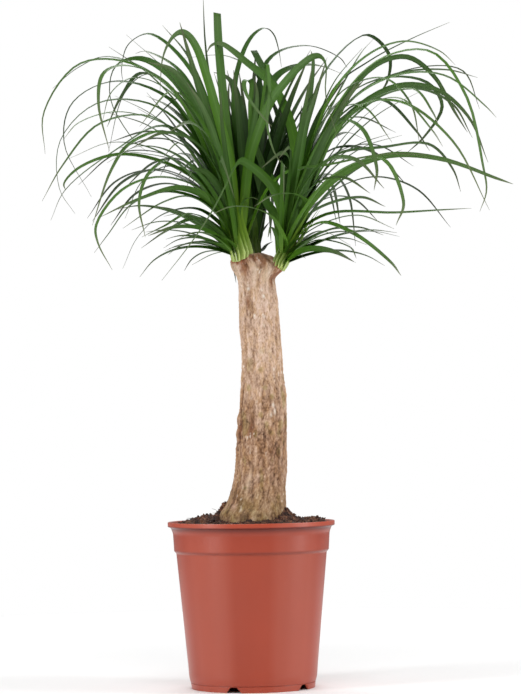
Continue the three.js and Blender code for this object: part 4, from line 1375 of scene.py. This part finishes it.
stageSet = {
    "sides": 96,
    "radius": 1.6,  # metres
    "floorColour": (0.93, 0.93, 0.93, 1),
    "floorRough": 0.9,
    "glow": 0.36,  # light from the room
    "seen": 1.0,  # the room as the camera sees it
}


# A round pale floor.
def makeStage():
    material, _, shader = newMaterial("paleFloor")
    shader.inputs["Base Color"].default_value = stageSet["floorColour"]
    shader.inputs["Roughness"].default_value = stageSet["floorRough"]
    turn = roundTurns(stageSet["sides"])
    rim = stageSet["radius"] * np.stack([np.cos(turn), np.sin(turn), 0 * turn], -1)
    mesh = bpy.data.meshes.new("floor")
    mesh.from_pydata(rim.tolist(), [], [list(range(len(rim)))])
    mesh.materials.append(material)
    floor = bpy.data.objects.new("floor", mesh)
    bpy.context.scene.collection.objects.link(floor)


# Places, aims and sizes in metres, and powers in watts.
lightSets = [
    {"name": "keyLeft", "at": (-3.0, -1.9, 1.7), "aim": (0, 0, 0.5), "size": (0.8, 2.6), "power": 50},
    {"name": "fillRight", "at": (3.3, -1.1, 1.6), "aim": (0, 0, 0.5), "size": (0.9, 2.6), "power": 48},
    {"name": "topSoft", "at": (0, -2.0, 3.2), "aim": (0, 0, 0.55), "size": (2.2, 1.6), "power": 42},
    {"name": "stripLeft", "at": (-2.4, -1.5, 0.42), "aim": (0, 0, 0.15), "size": (0.4, 0.8), "power": 9},
    {"name": "stripRight", "at": (2.7, -0.7, 0.42), "aim": (0, 0, 0.15), "size": (0.5, 0.8), "power": 10},
    {"name": "backSoft", "at": (0, 2.6, 3.0), "aim": (0, 1.2, 0), "size": (3.4, 1.0), "power": 70},
]


# Soft panels of light round the plant, in a pale room that looks brighter than it glows.
def makeLights():
    for light in lightSets:
        data = bpy.data.lights.new(light["name"], "AREA")
        data.shape = "RECTANGLE"
        data.size, data.size_y = light["size"]
        data.energy = light["power"]
        lamp = bpy.data.objects.new(light["name"], data)
        lamp.location = light["at"]
        aim = Vector(light["aim"]) - lamp.location
        lamp.rotation_euler = aim.to_track_quat("-Z", "Y").to_euler()
        bpy.context.scene.collection.objects.link(lamp)
    world = bpy.data.worlds.new("paleRoom")
    world.use_nodes = True
    nodes = Nodes(world.node_tree)
    glow = nodes.mix(nodes.add("ShaderNodeLightPath").outputs["Is Camera Ray"],
                     grey(stageSet["glow"]), grey(stageSet["seen"]))
    room = world.node_tree.nodes["Background"]
    nodes.tree.links.new(glow, room.inputs["Color"])
    room.inputs["Strength"].default_value = 1
    bpy.context.scene.world = world
    bpy.context.scene.view_settings.view_transform = "Standard"


makeCamera()
print("camera set")
makePot(makePotPlastic())
print("pot made")
soilMaterial = makeSoilMaterial()
makeSoil(soilMaterial)
makeCrumbs(soilMaterial)
makeFibres(makeFibreMaterial())
print("soil made")
makeTrunk(makeBarkMaterial())
print("trunk made")
leafMaterial = makeLeafMaterial()
for headName, headSet in headSets.items():
    makeHead(headName, headSet, leafMaterial)
    print(headName, "made")
makeStage()
makeLights()
print("stage set")
bpy.context.view_layer.update()
